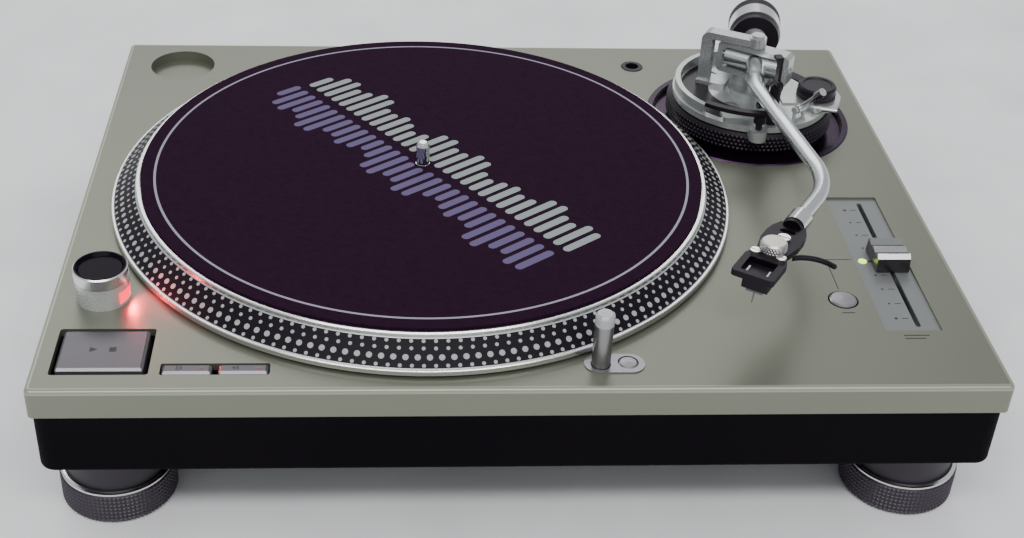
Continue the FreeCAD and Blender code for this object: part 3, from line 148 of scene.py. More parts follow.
class Shader:
    """One material and its Principled shader."""

    def __init__(self, name):
        self.material = bpy.data.materials.new(name)
        self.material.use_nodes = True
        self.tree = self.material.node_tree
        self.surface = self.tree.nodes["Principled BSDF"]

    def node(self, kind, settings=None, inputs=()):
        """Adds any node: its settings first, then the values or links of its sockets."""
        node = self.tree.nodes.new(kind)
        for key, setting in (settings or {}).items():
            setattr(node, key, setting)
        pairs = inputs.items() if isinstance(inputs, dict) else enumerate(inputs)
        for key, given in pairs:
            if given is not None:
                self.feed(node.inputs[key], given)
        return Made(self, node)

    def feed(self, socket, given):
        if isinstance(given, Value):
            self.tree.links.new(given.socket, socket)
        else:
            socket.default_value = given

    def place(self):
        return self.node("ShaderNodeTexCoord").value("Object")

    def axes(self, centre=(0, 0, 0), turn=0.0):
        """X, Y and Z from a centre, turned about Z."""
        mapping = self.node(
            "ShaderNodeMapping",
            {"vector_type": "TEXTURE"},
            {"Vector": self.place(), "Location": tuple(centre), "Rotation": (0, 0, turn)},
        )
        split = self.node("ShaderNodeSeparateXYZ", None, [mapping.value()])
        return split.value(0), split.value(1), split.value(2)

    def noise(self, scale, detail=2.0, roughness=0.5, vector=None):
        made = self.node(
            "ShaderNodeTexNoise",
            None,
            {"Vector": vector or self.place(), "Scale": scale, "Detail": detail, "Roughness": roughness},
        )
        return made.value(0)

    def stretched(self, factors):
        made = self.node("ShaderNodeMapping", None, {"Vector": self.place(), "Scale": tuple(factors)})
        return made.value()

    def blend(self, amount, first, second):
        """Colour that goes from the first to the second."""
        mix = self.node("ShaderNodeMix", {"data_type": "RGBA"}, {0: amount})
        for index, colour in ((6, first), (7, second)):
            if isinstance(colour, Value):
                self.feed(mix.node.inputs[index], colour)
            else:
                mix.node.inputs[index].default_value = (*colour, 1.0)
        return mix.value(2)

    def wear(self):
        """Large soft patches, near one half."""
        return self.noise(9.0, 4.0, 0.6)

    def bump(self, height, strength, distance):
        made = self.node(
            "ShaderNodeBump", None, {"Height": height, "Strength": strength, "Distance": distance}
        )
        return made.value()

    def finish(self, **sockets):
        for name, given in sockets.items():
            socket = self.surface.inputs[name.replace("_", " ")]
            if isinstance(given, tuple):
                given = (*given, 1.0)
            self.feed(socket, given)
        return self.material


MATERIALS = {}


def material(name, build):
    if name not in MATERIALS:
        MATERIALS[name] = build(Shader(name))
    return MATERIALS[name]


def satin_paint(colour, metallic=0.55, roughness=0.36, flake=0.05):
    """Metallic satin paint with fine flake, faint patches and a light orange peel."""
    def build(s):
        grain = s.noise(2600.0, 1.0)
        patches = s.wear()
        tone = tuple(c * (1 - 2 * flake) for c in colour)
        lighter = tuple(min(1.0, c * (1 + 2 * flake)) for c in colour)
        base = s.blend(grain * 0.6 + patches * 0.4, tone, lighter)
        rough = patches * 0.10 + (roughness - 0.05) + grain * 0.04
        normal = s.bump(s.noise(900.0, 2.0), 0.10, 0.0002)
        return s.finish(Base_Color=base, Metallic=metallic, Roughness=rough, Normal=normal)
    return build


def turned_metal(colour, roughness=0.24, centre=(0, 0, 0), pitch=0.0004):
    """Bare metal with fine lathe rings about an upright axis."""
    def build(s):
        x, y, z = s.axes(centre)
        radius = (x * x + y * y) ** 0.5
        rings = ((radius + z * 0.7) * (2 * math.pi / pitch)).sine()
        patches = s.wear()
        tone = tuple(c * 0.9 for c in colour)
        base = s.blend(patches, tone, colour)
        rough = patches * 0.12 + (roughness - 0.06)
        normal = s.bump(rings * 0.5 + s.noise(700.0, 2.0) * 0.3, 0.06, 0.0001)
        return s.finish(Base_Color=base, Metallic=1.0, Roughness=rough, Normal=normal)
    return build


def plain_metal(colour, roughness=0.2):
    """Polished or brushed metal with faint handling marks."""
    def build(s):
        patches = s.noise(60.0, 4.0, 0.6)
        fine = s.noise(1.0, 2.0, 0.5, s.stretched((300.0, 300.0, 2400.0)))
        tone = tuple(c * 0.86 for c in colour)
        base = s.blend(patches, tone, colour)
        rough = patches * 0.14 + (roughness - 0.06) + fine * 0.05
        normal = s.bump(fine, 0.08, 0.0001)
        return s.finish(Base_Color=base, Metallic=1.0, Roughness=rough, Normal=normal)
    return build


def moulded(colour, roughness=0.45, grain=0.25, specular=0.5):
    """Moulded plastic or rubber with a fine texture."""
    def build(s):
        s.surface.inputs["Specular IOR Level"].default_value = specular
        patches = s.wear()
        fine = s.noise(1500.0, 2.0)
        lighter = tuple(c * 1.5 + 0.004 for c in colour)
        base = s.blend(patches, colour, lighter)
        rough = patches * 0.12 + (roughness - 0.06) + fine * 0.06
        normal = s.bump(fine, grain, 0.0002)
        return s.finish(Base_Color=base, Roughness=rough, Normal=normal)
    return build


def glowing(colour, strength):
    """Coloured plastic lit from inside."""
    def build(s):
        base = s.blend(s.noise(500.0), tuple(c * 0.8 for c in colour), colour)
        return s.finish(Base_Color=base, Roughness=0.25, Emission_Color=base, Emission_Strength=strength)
    return build


def printed(colour, roughness=0.5):
    """Ink or paint laid on another piece."""
    def build(s):
        grain = s.noise(3000.0, 2.0)
        base = s.blend(grain, tuple(c * 0.85 for c in colour), colour)
        return s.finish(Base_Color=base, Roughness=roughness)
    return build


def dark_ink():
    return material("dark ink", printed((0.025, 0.018, 0.026), 0.5))


# --- Mesh helpers ---------------------------------------------------------------------------------

def heading(angle, lift=0.0):
    """Direction towards the front, swung clockwise by an angle and raised by a lift."""
    level = math.cos(lift)
    return Vector((-math.sin(angle) * level, -math.cos(angle) * level, math.sin(lift)))


def piece(name, mesh, finish, body):
    """A finished mesh piece that rides on a body."""
    mesh.name = name
    mesh.materials.clear()
    mesh.materials.append(finish)
    obj = bpy.data.objects.new(name, mesh)
    bpy.context.scene.collection.objects.link(obj)
    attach(obj, body)
    return obj


def from_bmesh(bm, recalculate=True):
    if recalculate:
        bmesh.ops.recalc_face_normals(bm, faces=bm.faces)
    mesh = bpy.data.meshes.new("work")
    bm.to_mesh(mesh)
    bm.free()
    return mesh


def lathe(bm, profile, centre, segments=96, frame_matrix=None):
    """A closed profile of (radius, height) points turned about the upright through a centre."""
    turned = frame_matrix or Matrix.Translation(Vector(centre))
    rings = []
    for radius, height in profile:
        ring = []
        for index in range(segments):
            angle = 2 * math.pi * index / segments
            point = Vector((radius * math.cos(angle), radius * math.sin(angle), height))
            ring.append(bm.verts.new(turned @ point))
        rings.append(ring)
    for near, far in zip(rings, rings[1:] + rings[:1]):
        for index in range(segments):
            after = (index + 1) % segments
            bm.faces.new((near[index], near[after], far[after], far[index]))


def slab(bm, outline, low, high):
    """A flat prism from an outline of (x, y) points."""
    bottom = [bm.verts.new((x, y, low)) for x, y in outline]
    top = [bm.verts.new((x, y, high)) for x, y in outline]
    bm.faces.new(top)
    bm.faces.new(list(reversed(bottom)))
    count = len(outline)
    for index in range(count):
        after = (index + 1) % count
        bm.faces.new((bottom[index], bottom[after], top[after], top[index]))


def rounded_bar(start, end, half_width, steps=6):
    """Outline of a bar with round ends between two (x, y) points."""
    start = Vector(start)
    end = Vector(end)
    along = math.atan2(end.y - start.y, end.x - start.x)
    outline = []
    for centre, first in ((end, along - math.pi / 2), (start, along + math.pi / 2)):
        for step in range(steps + 1):
            angle = first + math.pi * step / steps
            outline.append((
                centre.x + half_width * math.cos(angle),
                centre.y + half_width * math.sin(angle),
            ))
    return outline


def disc(centre, radius, steps=24):
    return [
        (
            centre[0] + radius * math.cos(2 * math.pi * step / steps),
            centre[1] + radius * math.sin(2 * math.pi * step / steps),
        )
        for step in range(steps)
    ]


def lettering(text, size, matrix, thickness):
    """Numbers as a flat mesh with a little thickness, centred and laid by a matrix."""
    curve = bpy.data.curves.new("work", "FONT")
    curve.body = text
    curve.size = size
    curve.align_x = "CENTER"
    curve.align_y = "CENTER"
    curve.extrude = thickness / 2
    curve.resolution_u = 3
    holder = bpy.data.objects.new("work", curve)
    bpy.context.scene.collection.objects.link(holder)
    graph = bpy.context.evaluated_depsgraph_get()
    mesh = bpy.data.meshes.new_from_object(holder.evaluated_get(graph))
    bpy.data.objects.remove(holder)
    mesh.transform(matrix)
    return mesh


def gathered(meshes):
    """Several meshes as one."""
    bm = bmesh.new()
    for mesh in meshes:
        bm.from_mesh(mesh)
        bpy.data.meshes.remove(mesh)
    return from_bmesh(bm, recalculate=False)


# --- Geometry Nodes -------------------------------------------------------------------------------

class Layout(Shader):
    """A Geometry Nodes tree with named inputs."""

    def __init__(self, name, inputs):
        self.tree = bpy.data.node_groups.new(name, "GeometryNodeTree")
        self.sockets = {}
        for label, kind in inputs:
            made = self.tree.interface.new_socket(label, in_out="INPUT", socket_type="NodeSocket" + kind)
            self.sockets[label] = made.identifier
        self.tree.interface.new_socket("Geometry", in_out="OUTPUT", socket_type="NodeSocketGeometry")
        self.given = self.node("NodeGroupInput")

    def input(self, label):
        return self.given.value(label)

    def vector(self, x, y, z):
        return self.node("ShaderNodeCombineXYZ", None, [x, y, z]).value()


def ring_layout():
    """Small shapes set round a drum in rows, standing out from its side."""
    g = Layout("ring_of_shapes", (
        ("Sides", "Int"), ("Foot Radius", "Float"), ("Top Radius", "Float"), ("Rise", "Float"),
        ("Stretch", "Vector"), ("Twist", "Float"), ("Count", "Int"), ("Drum Radius", "Float"),
        ("Tilt", "Float"), ("Rows", "Int"), ("Start", "Float"), ("Spacing", "Float"),
        ("Stagger", "Float"), ("Turn", "Vector"), ("Centre", "Vector"), ("Finish", "Material"),
    ))
    cone = g.node("GeometryNodeMeshCone", None, {
        "Vertices": g.input("Sides"), "Radius Bottom": g.input("Foot Radius"),
        "Radius Top": g.input("Top Radius"), "Depth": g.input("Rise"),
    })
    shape = g.node("GeometryNodeTransform", None, {
        "Geometry": cone.value("Mesh"), "Rotation": g.vector(0, 0, g.input("Twist")),
    })
    stretched = g.node("GeometryNodeTransform", None, {
        "Geometry": shape.value("Geometry"), "Scale": g.input("Stretch"),
    })
    circle = g.node("GeometryNodeMeshCircle", None, {
        "Vertices": g.input("Count"), "Radius": g.input("Drum Radius"),
    })
    index = g.node("GeometryNodeInputIndex").value()
    facing = index / g.input("Count") * (2 * math.pi)
    ring = g.node("GeometryNodeInstanceOnPoints", None, {
        "Points": circle.value("Mesh"), "Instance": stretched.value("Geometry"),
        "Rotation": g.vector(0, g.input("Tilt"), facing),
    })
    rows = g.node("GeometryNodeMeshLine", None, {
        "Count": g.input("Rows"), "Start Location": g.vector(0, 0, g.input("Start")),
        "Offset": g.vector(0, 0, g.input("Spacing")),
    })
    odd = index.math("MODULO", 2.0)
    turned = odd * g.input("Stagger") / g.input("Count") * math.pi
    stacked = g.node("GeometryNodeInstanceOnPoints", None, {
        "Points": rows.value("Mesh"), "Instance": ring.value("Instances"),
        "Rotation": g.vector(0, 0, turned),
    })
    placed = g.node("GeometryNodeTransform", None, {
        "Geometry": stacked.value("Instances"), "Translation": g.input("Centre"),
        "Rotation": g.input("Turn"),
    })
    real = g.node("GeometryNodeRealizeInstances", None, {"Geometry": placed.value("Geometry")})
    coated = g.node("GeometryNodeSetMaterial", None, {
        "Geometry": real.value("Geometry"), "Material": g.input("Finish"),
    })
    g.node("NodeGroupOutput", None, {"Geometry": coated.value("Geometry")})
    return g


LAYOUTS = {}


def ring_of(**values):
    """Evaluates the ring layout once and returns a plain mesh."""
    if "ring" not in LAYOUTS:
        LAYOUTS["ring"] = ring_layout()
    layout = LAYOUTS["ring"]
    holder = bpy.data.objects.new("work", bpy.data.meshes.new("work"))
    bpy.context.scene.collection.objects.link(holder)
    modifier = holder.modifiers.new("ring", "NODES")
    modifier.node_group = layout.tree
    defaults = {
        "Sides": 4, "Foot Radius": 0.5 * MM, "Top Radius": 0.1 * MM, "Rise": 0.4 * MM,
        "Stretch": (1.0, 1.0, 1.0), "Twist": math.pi / 4, "Tilt": math.pi / 2, "Rows": 1,
        "Start": 0.0, "Spacing": 0.0, "Stagger": 0.0, "Turn": (0.0, 0.0, 0.0),
        "Centre": (0.0, 0.0, 0.0),
    }
    given = {key.replace("_", " "): value for key, value in values.items()}
    for label, value in {**defaults, **given}.items():
        modifier[layout.sockets[label]] = value
    graph = bpy.context.evaluated_depsgraph_get()
    mesh = bpy.data.meshes.new_from_object(holder.evaluated_get(graph))
    holder.modifiers.remove(modifier)
    bpy.data.objects.remove(holder)
    if not mesh.polygons:
        raise RuntimeError("the ring layout made no faces")
    return mesh


# --- Sizes and colours a user may change ----------------------------------------------------------

def colour_property(name, description, default):
    return FloatVectorProperty(
        name=name, description=description, default=default, size=3, min=0.0, max=1.0, subtype="COLOR"
    )


def length_property(name, description, default):
    return FloatProperty(
        name=name, description=description, default=default, min=0.0, unit="LENGTH", subtype="DISTANCE"
    )


class FinishSettings(bpy.types.PropertyGroup):
    deck: colour_property("Deck", "Satin metallic paint of the cabinet", (0.220, 0.228, 0.178))
    silver: colour_property("Silver", "Buttons and lift parts", (0.30, 0.295, 0.305))
    button: colour_property("Button caps", "Start and speed buttons", (0.100, 0.093, 0.103))
    bright: colour_property("Bright metal", "Turned and polished metal", (0.80, 0.81, 0.79))
    tube: colour_property("Arm tube", "Pale silver of the arm's tube", (0.72, 0.75, 0.75))
    arm_paint: colour_property("Arm base", "Silver of the arm's base and bridge", (0.52, 0.54, 0.53))
    rubber: colour_property("Base", "Black rubber of the lower base", (0.0025, 0.0016, 0.003))
    plastic: colour_property("Black plastic", "Moulded black parts", (0.008, 0.004, 0.009))
    well: colour_property("Arm well", "Dark plate below the arm", (0.030, 0.012, 0.034))
    felt: colour_property("Mat", "Dark felt of the slipmat", (0.012, 0.0022, 0.0115))


class MatSettings(bpy.types.PropertyGroup):
    pale: colour_property("Pale print", "Upper half of the printed wave", (0.34, 0.38, 0.37))
    muted: colour_property("Muted print", "Mirrored half of the printed wave", (0.13, 0.095, 0.22))
    line: colour_property("Edge line", "Thin ring near the mat's edge", (0.42, 0.40, 0.48))
    line_radius: length_property("Line radius", "Radius of the thin ring", 142.5 * MM)
    line_width: length_property("Line width", "Width of the thin ring", 1.3 * MM)
    bars: IntProperty(name="Bars", description="Bars on each side of the wave", default=31, min=3, max=80)
    pitch: length_property("Bar pitch", "Distance from bar to bar", 7.3 * MM)
    width: length_property("Bar width", "Width of a bar", 4.6 * MM)
    tallest: length_property("Tallest bar", "Length of the longest bar", 30.0 * MM)
    angle: FloatProperty(
        name="Angle", description="Turn of the wave's axis", default=math.radians(-52.8), subtype="ANGLE"
    )


class StrobeSettings(bpy.types.PropertyGroup):
    dot: colour_property("Dots", "Pale dots on the platter's edge", (0.50, 0.49, 0.50))
    radius: length_property("Dot radius", "Radius of a common dot", 0.95 * MM)
    large_radius: length_property("Large dot radius", "Radius of a dot in the large row", 1.5 * MM)
    glow: colour_property("Glow", "Red light from the strobe window", (1.0, 0.02, 0.05))
    glow_power: FloatProperty(
        name="Glow power", description="Strength of the strobe light", default=0.02, min=0.0, unit="POWER"
    )


class KnurlSettings(bpy.types.PropertyGroup):
    foot_count: IntProperty(
        name="Foot knurl", description="Studs round a foot", default=84, min=12, max=200
    )
    foot_rows: IntProperty(name="Foot rows", description="Rows of studs on a foot", default=7, min=1, max=20)
    foot_rise: length_property("Foot rise", "Height of a stud on a foot", 0.55 * MM)
    ring_count: IntProperty(
        name="Height ring knurl", description="Ridges round the height ring", default=120, min=12, max=300
    )
    weight_count: IntProperty(
        name="Weight knurl", description="Studs round the counterweight's grip", default=60, min=12, max=200
    )


class StageSettings(bpy.types.PropertyGroup):
    floor: colour_property("Floor", "Plain floor below the player", (0.86, 0.86, 0.86))
    floor_size: length_property("Floor size", "Side of the floor", 12.0)
    key_power: FloatProperty(
        name="Key light", description="Large soft light behind and above", default=16.0, min=0.0,
        unit="POWER"
    )
    fill_power: FloatProperty(
        name="Fill light", description="Soft light high in front", default=22.0, min=0.0, unit="POWER"
    )
    world: FloatProperty(name="World", description="Strength of the surroundings", default=0.62, min=0.0)
    lens: FloatProperty(name="Lens", description="Focal length on a 36 mm frame", default=52.69, min=10.0)


class PlayerSettings(bpy.types.PropertyGroup):
    finish: PointerProperty(type=FinishSettings)
    mat: PointerProperty(type=MatSettings)
    strobe: PointerProperty(type=StrobeSettings)
    knurl: PointerProperty(type=KnurlSettings)
    stage: PointerProperty(type=StageSettings)


def settings():
    return bpy.context.scene.record_player


def colour(value):
    return tuple(value)


# --- Finishes -------------------------------------------------------------------------------------

def deck_finish(s):
    """Satin paint, with a painted highlight along the cabinet's rounded top edges."""
    base = colour(settings().finish.deck)
    x, y, z = s.axes()
    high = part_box("cabinet")[1]
    border = 2.4 * MM
    # Painted highlight: a band along the rounded top edges is mixed towards a lighter colour, standing in
    # for the light these edges catch.
    side = (x * x > (high.x - border) ** 2).either(y * y > (high.y - border) ** 2)
    edge = side * (z > DECK_Z - border)
    grain = s.noise(2600.0, 1.0)
    patches = s.wear()
    tone = tuple(c * 0.93 for c in base)
    lighter = tuple(c * 1.06 for c in base)
    paint = s.blend(grain * 0.6 + patches * 0.4, tone, lighter)
    paint_with_painted_highlight = s.blend(edge * 0.8, paint, tuple(min(c * 1.9, 0.8) for c in base))
    rough = patches * 0.08 + 0.33 + grain * 0.04
    normal = s.bump(s.noise(900.0, 2.0), 0.08, 0.0002)
    return s.finish(Base_Color=paint_with_painted_highlight, Metallic=0.6, Roughness=rough, Normal=normal)


def platter_finish(s):
    """Turned aluminium with a black band for the dots."""
    x, y, z = s.axes(PLATTER_CENTRE)
    radius = (x * x + y * y) ** 0.5
    height = z + PLATTER_CENTRE.z
    band = height.between(BAND_LOW, BAND_HIGH) * (radius > BAND_INNER)
    ring_pitch = 0.5 * MM
    rings = (radius * (2 * math.pi / ring_pitch)).sine()
    patches = s.wear()
    bright = colour(settings().finish.bright)
    metal = s.blend(patches, tuple(c * 0.85 for c in bright), bright)
    s.surface.inputs["Specular IOR Level"].default_value = 0.2
    base = s.blend(band, metal, (0.006, 0.003, 0.008))
    rough = (patches * 0.1 + 0.2) * (1 - band) + band * 0.42
    normal = s.bump(rings * 0.5 + s.noise(900.0, 2.0) * 0.3, 0.06, 0.0001)
    return s.finish(Base_Color=base, Metallic=1 - band, Roughness=rough, Normal=normal)


def felt_finish(s):
    """Dark felt with short fibres and the thin printed ring."""
    mat = settings().mat
    x, y = s.axes(PLATTER_CENTRE)[:2]
    radius = (x * x + y * y) ** 0.5
    fibre = s.noise(1.0, 5.0, 0.75, s.stretched((1400.0, 1700.0, 1500.0)))
    lint = s.noise(260.0, 6.0, 0.7)
    half = mat.line_width / 2
    line = radius.between(mat.line_radius - half, mat.line_radius + half)
    dark = colour(settings().finish.felt)
    pile = s.blend(
        (fibre * 0.65 + lint * 0.35 - 0.3) * 2.2,
        tuple(c * 0.55 for c in dark),
        tuple(c * 2.1 + 0.004 for c in dark),
    )
    base = s.blend(line * (fibre * 0.5 + 0.65), pile, colour(mat.line))
    normal = s.bump(fibre * 0.6 + lint * 0.4, 0.55, 0.0006)
    s.surface.inputs["Specular IOR Level"].default_value = 0.06
    s.surface.inputs["Sheen Weight"].default_value = 0.04
    s.surface.inputs["Sheen Roughness"].default_value = 0.6
    s.surface.inputs["Sheen Tint"].default_value = (0.75, 0.35, 0.70, 1.0)
    return s.finish(Base_Color=base, Roughness=0.93, Normal=normal)


def knob_finish(s):
    """Gloss black dished top inside a thin silver rim."""
    low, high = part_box("power_knob")
    x, y = s.axes((low + high) / 2)[:2]
    radius = (x * x + y * y) ** 0.5
    rim = radius > (high.x - low.x) / 2 - 0.6 * MM
    s.surface.inputs["Specular IOR Level"].default_value = 0.04
    patches = s.wear()
    base = s.blend(rim, (0.006, 0.002, 0.007), colour(settings().finish.bright))
    rough = patches * 0.08 + 0.22
    normal = s.bump(s.noise(600.0, 2.0), 0.04, 0.0001)
    return s.finish(Base_Color=base, Metallic=rim, Roughness=rough, Normal=normal)


def button_finish(node):
    """Satin metal cap, with a painted highlight along its bevelled edge."""
    def build(s):
        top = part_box(node)[1].z
        # Painted highlight: the bevel below the flat top is painted 2.6 times brighter than the cap.
        edge = s.axes()[2] < top - 0.12 * MM
        patches = s.wear()
        cap = colour(settings().finish.button)
        base = s.blend(edge, cap, tuple(c * 2.6 for c in cap))
        normal = s.bump(s.noise(1500.0, 2.0), 0.1, 0.0001)
        return s.finish(Base_Color=base, Metallic=0.75, Roughness=patches * 0.08 + 0.28, Normal=normal)
    return build


def fader_knob_finish(s):
    """Bright ridge on a darker skirt."""
    skirt = s.axes()[2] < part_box("pitch_knob")[1].z - 2.2 * MM
    patches = s.wear()
    base = s.blend(skirt, (0.38, 0.39, 0.385), (0.10, 0.09, 0.10))
    normal = s.bump(s.noise(900.0, 2.0), 0.05, 0.0001)
    return s.finish(Base_Color=base, Metallic=1.0, Roughness=patches * 0.08 + 0.22, Normal=normal)


def board_finish(s):
    """Green circuit board with lighter tracks."""
    x, y = s.axes()[:2]
    tracks = ((x * 1200.0).sine() * (y * 900.0).sine()) > 0.55
    base = s.blend(tracks, (0.01, 0.09, 0.03), (0.03, 0.19, 0.06))
    normal = s.bump(tracks, 0.3, 0.0001)
    return s.finish(Base_Color=base, Roughness=0.4, Normal=normal)


def coil_finish(s):
    """Copper wire wound in fine turns."""
    z = s.axes()[2]
    turns = (z * (2 * math.pi / 0.0008)).sine()
    base = s.blend(turns * 0.5 + 0.5, (0.45, 0.14, 0.05), (0.85, 0.36, 0.17))
    normal = s.bump(turns, 0.5, 0.0003)
    return s.finish(Base_Color=base, Metallic=0.9, Roughness=0.32, Normal=normal)


def lens_finish(s):
    """Clear lens of the target light."""
    patches = s.noise(300.0)
    base = s.blend(patches, (0.75, 0.78, 0.78), (0.92, 0.95, 0.95))
    s.surface.inputs["Transmission Weight"].default_value = 0.5
    return s.finish(Base_Color=base, Roughness=patches * 0.1 + 0.08)


def node_finishes():
    """Material for each CAD piece: name, then how it is made."""
    finish = settings().finish
    bright = colour(finish.bright)
    silver = colour(finish.silver)
    plastic = colour(finish.plastic)
    tube = colour(finish.tube)
    arm_paint = colour(finish.arm_paint)
    deck = ("deck satin paint", deck_finish)
    rubber = ("base black rubber", moulded(colour(finish.rubber), 0.6, 0.3, 0.03))
    board = ("chassis board", moulded((0.09, 0.09, 0.10), 0.7, 0.4))
    steel = ("plated steel", plain_metal((0.62, 0.62, 0.62), 0.3))
    polished = ("polished metal", plain_metal(bright, 0.13))
    black = ("moulded black", moulded(plastic, 0.34, 0.12, 0.28))
    dark_metal = ("black anodised metal", satin_paint((0.009, 0.004, 0.010), 0.55, 0.36, 0.08))
    well = ("arm well plate", satin_paint(colour(finish.well), 0.85, 0.2, 0.08))
    silver_button = ("silver control", satin_paint(silver, 0.75, 0.3, 0.03))
    fader = ("fader panel", satin_paint((0.25, 0.26, 0.255), 0.5, 0.42, 0.03))
    arm = ("arm silver paint", satin_paint(arm_paint, 0.7, 0.26, 0.03))
    arm_tube = ("arm tube silver", plain_metal(tube, 0.24))
    return {
        "cabinet": deck,
        "rubber_base": rubber,
        "inner_chassis": board,
        "base_screws": steel,
        "motor_stator": ("copper coils", coil_finish),
        "spindle_bearing": steel,
        "circuit_board": ("circuit board green", board_finish),
        "transformer": ("transformer steel", plain_metal((0.35, 0.34, 0.33), 0.45)),
        "strobe_tower": ("tower aluminium", satin_paint((0.74, 0.76, 0.75), 0.62, 0.26, 0.03)),
        "strobe_window": ("strobe window red", glowing((1.0, 0.03, 0.06), 2.5)),
        "switch_housing": black,
        "pitch_panel": fader,
        "pitch_potentiometer": steel,
        "pitch_lamp": ("lamp green", glowing((0.62, 0.95, 0.10), 2.2)),
        "target_light_bezel": silver_button,
        "target_light_lens": ("clear lens", lens_finish),
        "arm_well_ring": well,
        "headshell_socket": black,
        "hinge_sockets": black,
        "cord_glands": black,
        "platter": ("platter aluminium", platter_finish),
        "rotor_magnet": ("rotor magnet", plain_metal((0.22, 0.22, 0.23), 0.5)),
        "slipmat": ("mat felt", felt_finish),
        "spindle": polished,
        "power_knob": ("power knob", knob_finish),
        "start_stop_button": ("start button silver", button_finish("start_stop_button")),
        "speed_33_button": ("speed button silver", button_finish("speed_33_button")),
        "speed_45_button": ("speed button silver", button_finish("speed_33_button")),
        "target_light_tube": ("light tube", turned_metal(silver, 0.28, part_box("target_light_button")[0])),
        "target_light_button": silver_button,
        "pitch_knob": ("fader knob silver", fader_knob_finish),
        "reset_button": silver_button,
        "height_ring": dark_metal,
        "arm_base": arm,
        "pivot_bridge": arm,
        "arm_rest": black,
        "arm_clip": black,
        "lift_platform": black,
        "cue_lever": polished,
        "lock_lever": polished,
        "anti_skate_dial": black,
        "gimbal_ring": arm,
        "gimbal_pivots": polished,
        "pivot_block": ("pivot block", plain_metal((0.68, 0.70, 0.69), 0.2)),
        "arm_tube": arm_tube,
        "rear_stub": polished,
        "headshell": dark_metal,
        "finger_lift": dark_metal,
        "headshell_screws": polished,
        "shell_weight": ("small weight", plain_metal((0.66, 0.64, 0.58), 0.3)),
        "cartridge": black,
        "stylus": ("stylus grey", moulded((0.10, 0.10, 0.11), 0.4, 0.1)),
        "lock_collar": polished,
        "weight_sleeve": steel,
        "counterweight": ("counterweight", counterweight_finish),
        "pressure_dial": black,
        **{foot: ("foot black", foot_finish) for foot in FEET},
    }


def counterweight_finish(s):
    """Silver front band and black rear grip."""
    low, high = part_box("counterweight")
    middle = (low + high) / 2
    back = -heading(PARKED_ANGLE, PARKED_LIFT)
    place = s.node("ShaderNodeVectorMath", {"operation": "SUBTRACT"}, [s.place(), tuple(middle)])
    along = s.node("ShaderNodeVectorMath", {"operation": "DOT_PRODUCT"}, [place.value(), tuple(back)])
    grip = along.value("Value") > 3.0 * MM
    patches = s.wear()
    base = s.blend(grip, colour(settings().finish.bright), (0.014, 0.009, 0.015))
    rough = patches * 0.08 + 0.2 + grip * 0.15
    normal = s.bump(s.noise(800.0, 2.0), 0.06, 0.0001)
    return s.finish(Base_Color=base, Metallic=1 - grip * 0.6, Roughness=rough, Normal=normal)


def foot_finish(s):
    """Black foot with a thin chromed ring."""
    z = s.axes()[2]
    ring = z.between(16.9 * MM, 18.8 * MM)
    patches = s.wear()
    base = s.blend(ring, s.blend(patches, (0.016, 0.011, 0.018), (0.032, 0.024, 0.034)),
                   colour(settings().finish.bright))
    rough = (1 - ring) * 0.28 + 0.16 + patches * 0.08
    normal = s.bump(s.noise(1100.0, 2.0), 0.15, 0.0002)
    return s.finish(Base_Color=base, Metallic=ring, Roughness=rough, Normal=normal)


class PlayerOperator:
    """Shared by the operators below."""

    bl_options = {"REGISTER", "UNDO"}


class PLAYER_OT_finishes(PlayerOperator, bpy.types.Operator):
    """Give every CAD piece its finish"""

    bl_idname = "player.finishes"
    bl_label = "Finishes"

    def execute(self, context):
        finishes = node_finishes()
        for name in NODES:
            if name not in finishes:
                raise RuntimeError(f"no finish for {name}")
            label, build = finishes[name]
            slots = NODES[name].material_slots
            if not slots:
                raise RuntimeError(f"{name} has no material slot")
            made = material(label, build)
            for slot in slots:
                slot.material = made
        return {"FINISHED"}


# --- Fine pieces ----------------------------------------------------------------------------------

class PLAYER_OT_strobe_dots(PlayerOperator, bpy.types.Operator):
    """Set four rows of dots on the platter's sloping edge"""

    bl_idname = "player.strobe_dots"
    bl_label = "Strobe dots"

    def execute(self, context):
        strobe = settings().strobe
        finish = material("strobe dot paint", printed(colour(strobe.dot), 0.4))
        foot, top = DOT_SLOPE_FOOT, DOT_SLOPE_TOP
        slope = math.atan2(foot.x - top.x, top.y - foot.y)
        thickness = 0.12 * MM
        rows = ((0.89, 170, strobe.radius), (0.66, 174, strobe.radius),
                (0.38, 180, strobe.large_radius), (0.12, 186, strobe.radius))
        meshes = []
        for share, count, radius in rows:
            place = foot.lerp(top, share)
            meshes.append(ring_of(
                Sides=10, Foot_Radius=radius, Top_Radius=radius * 0.94, Rise=thickness, Count=count,
                Drum_Radius=place.x, Tilt=math.pi / 2 - slope, Start=place.y,
                Centre=(PLATTER_CENTRE.x, PLATTER_CENTRE.y, 0.0), Finish=finish,
            ))
        piece("strobe_dots", gathered(meshes), finish, "platter")
        return {"FINISHED"}


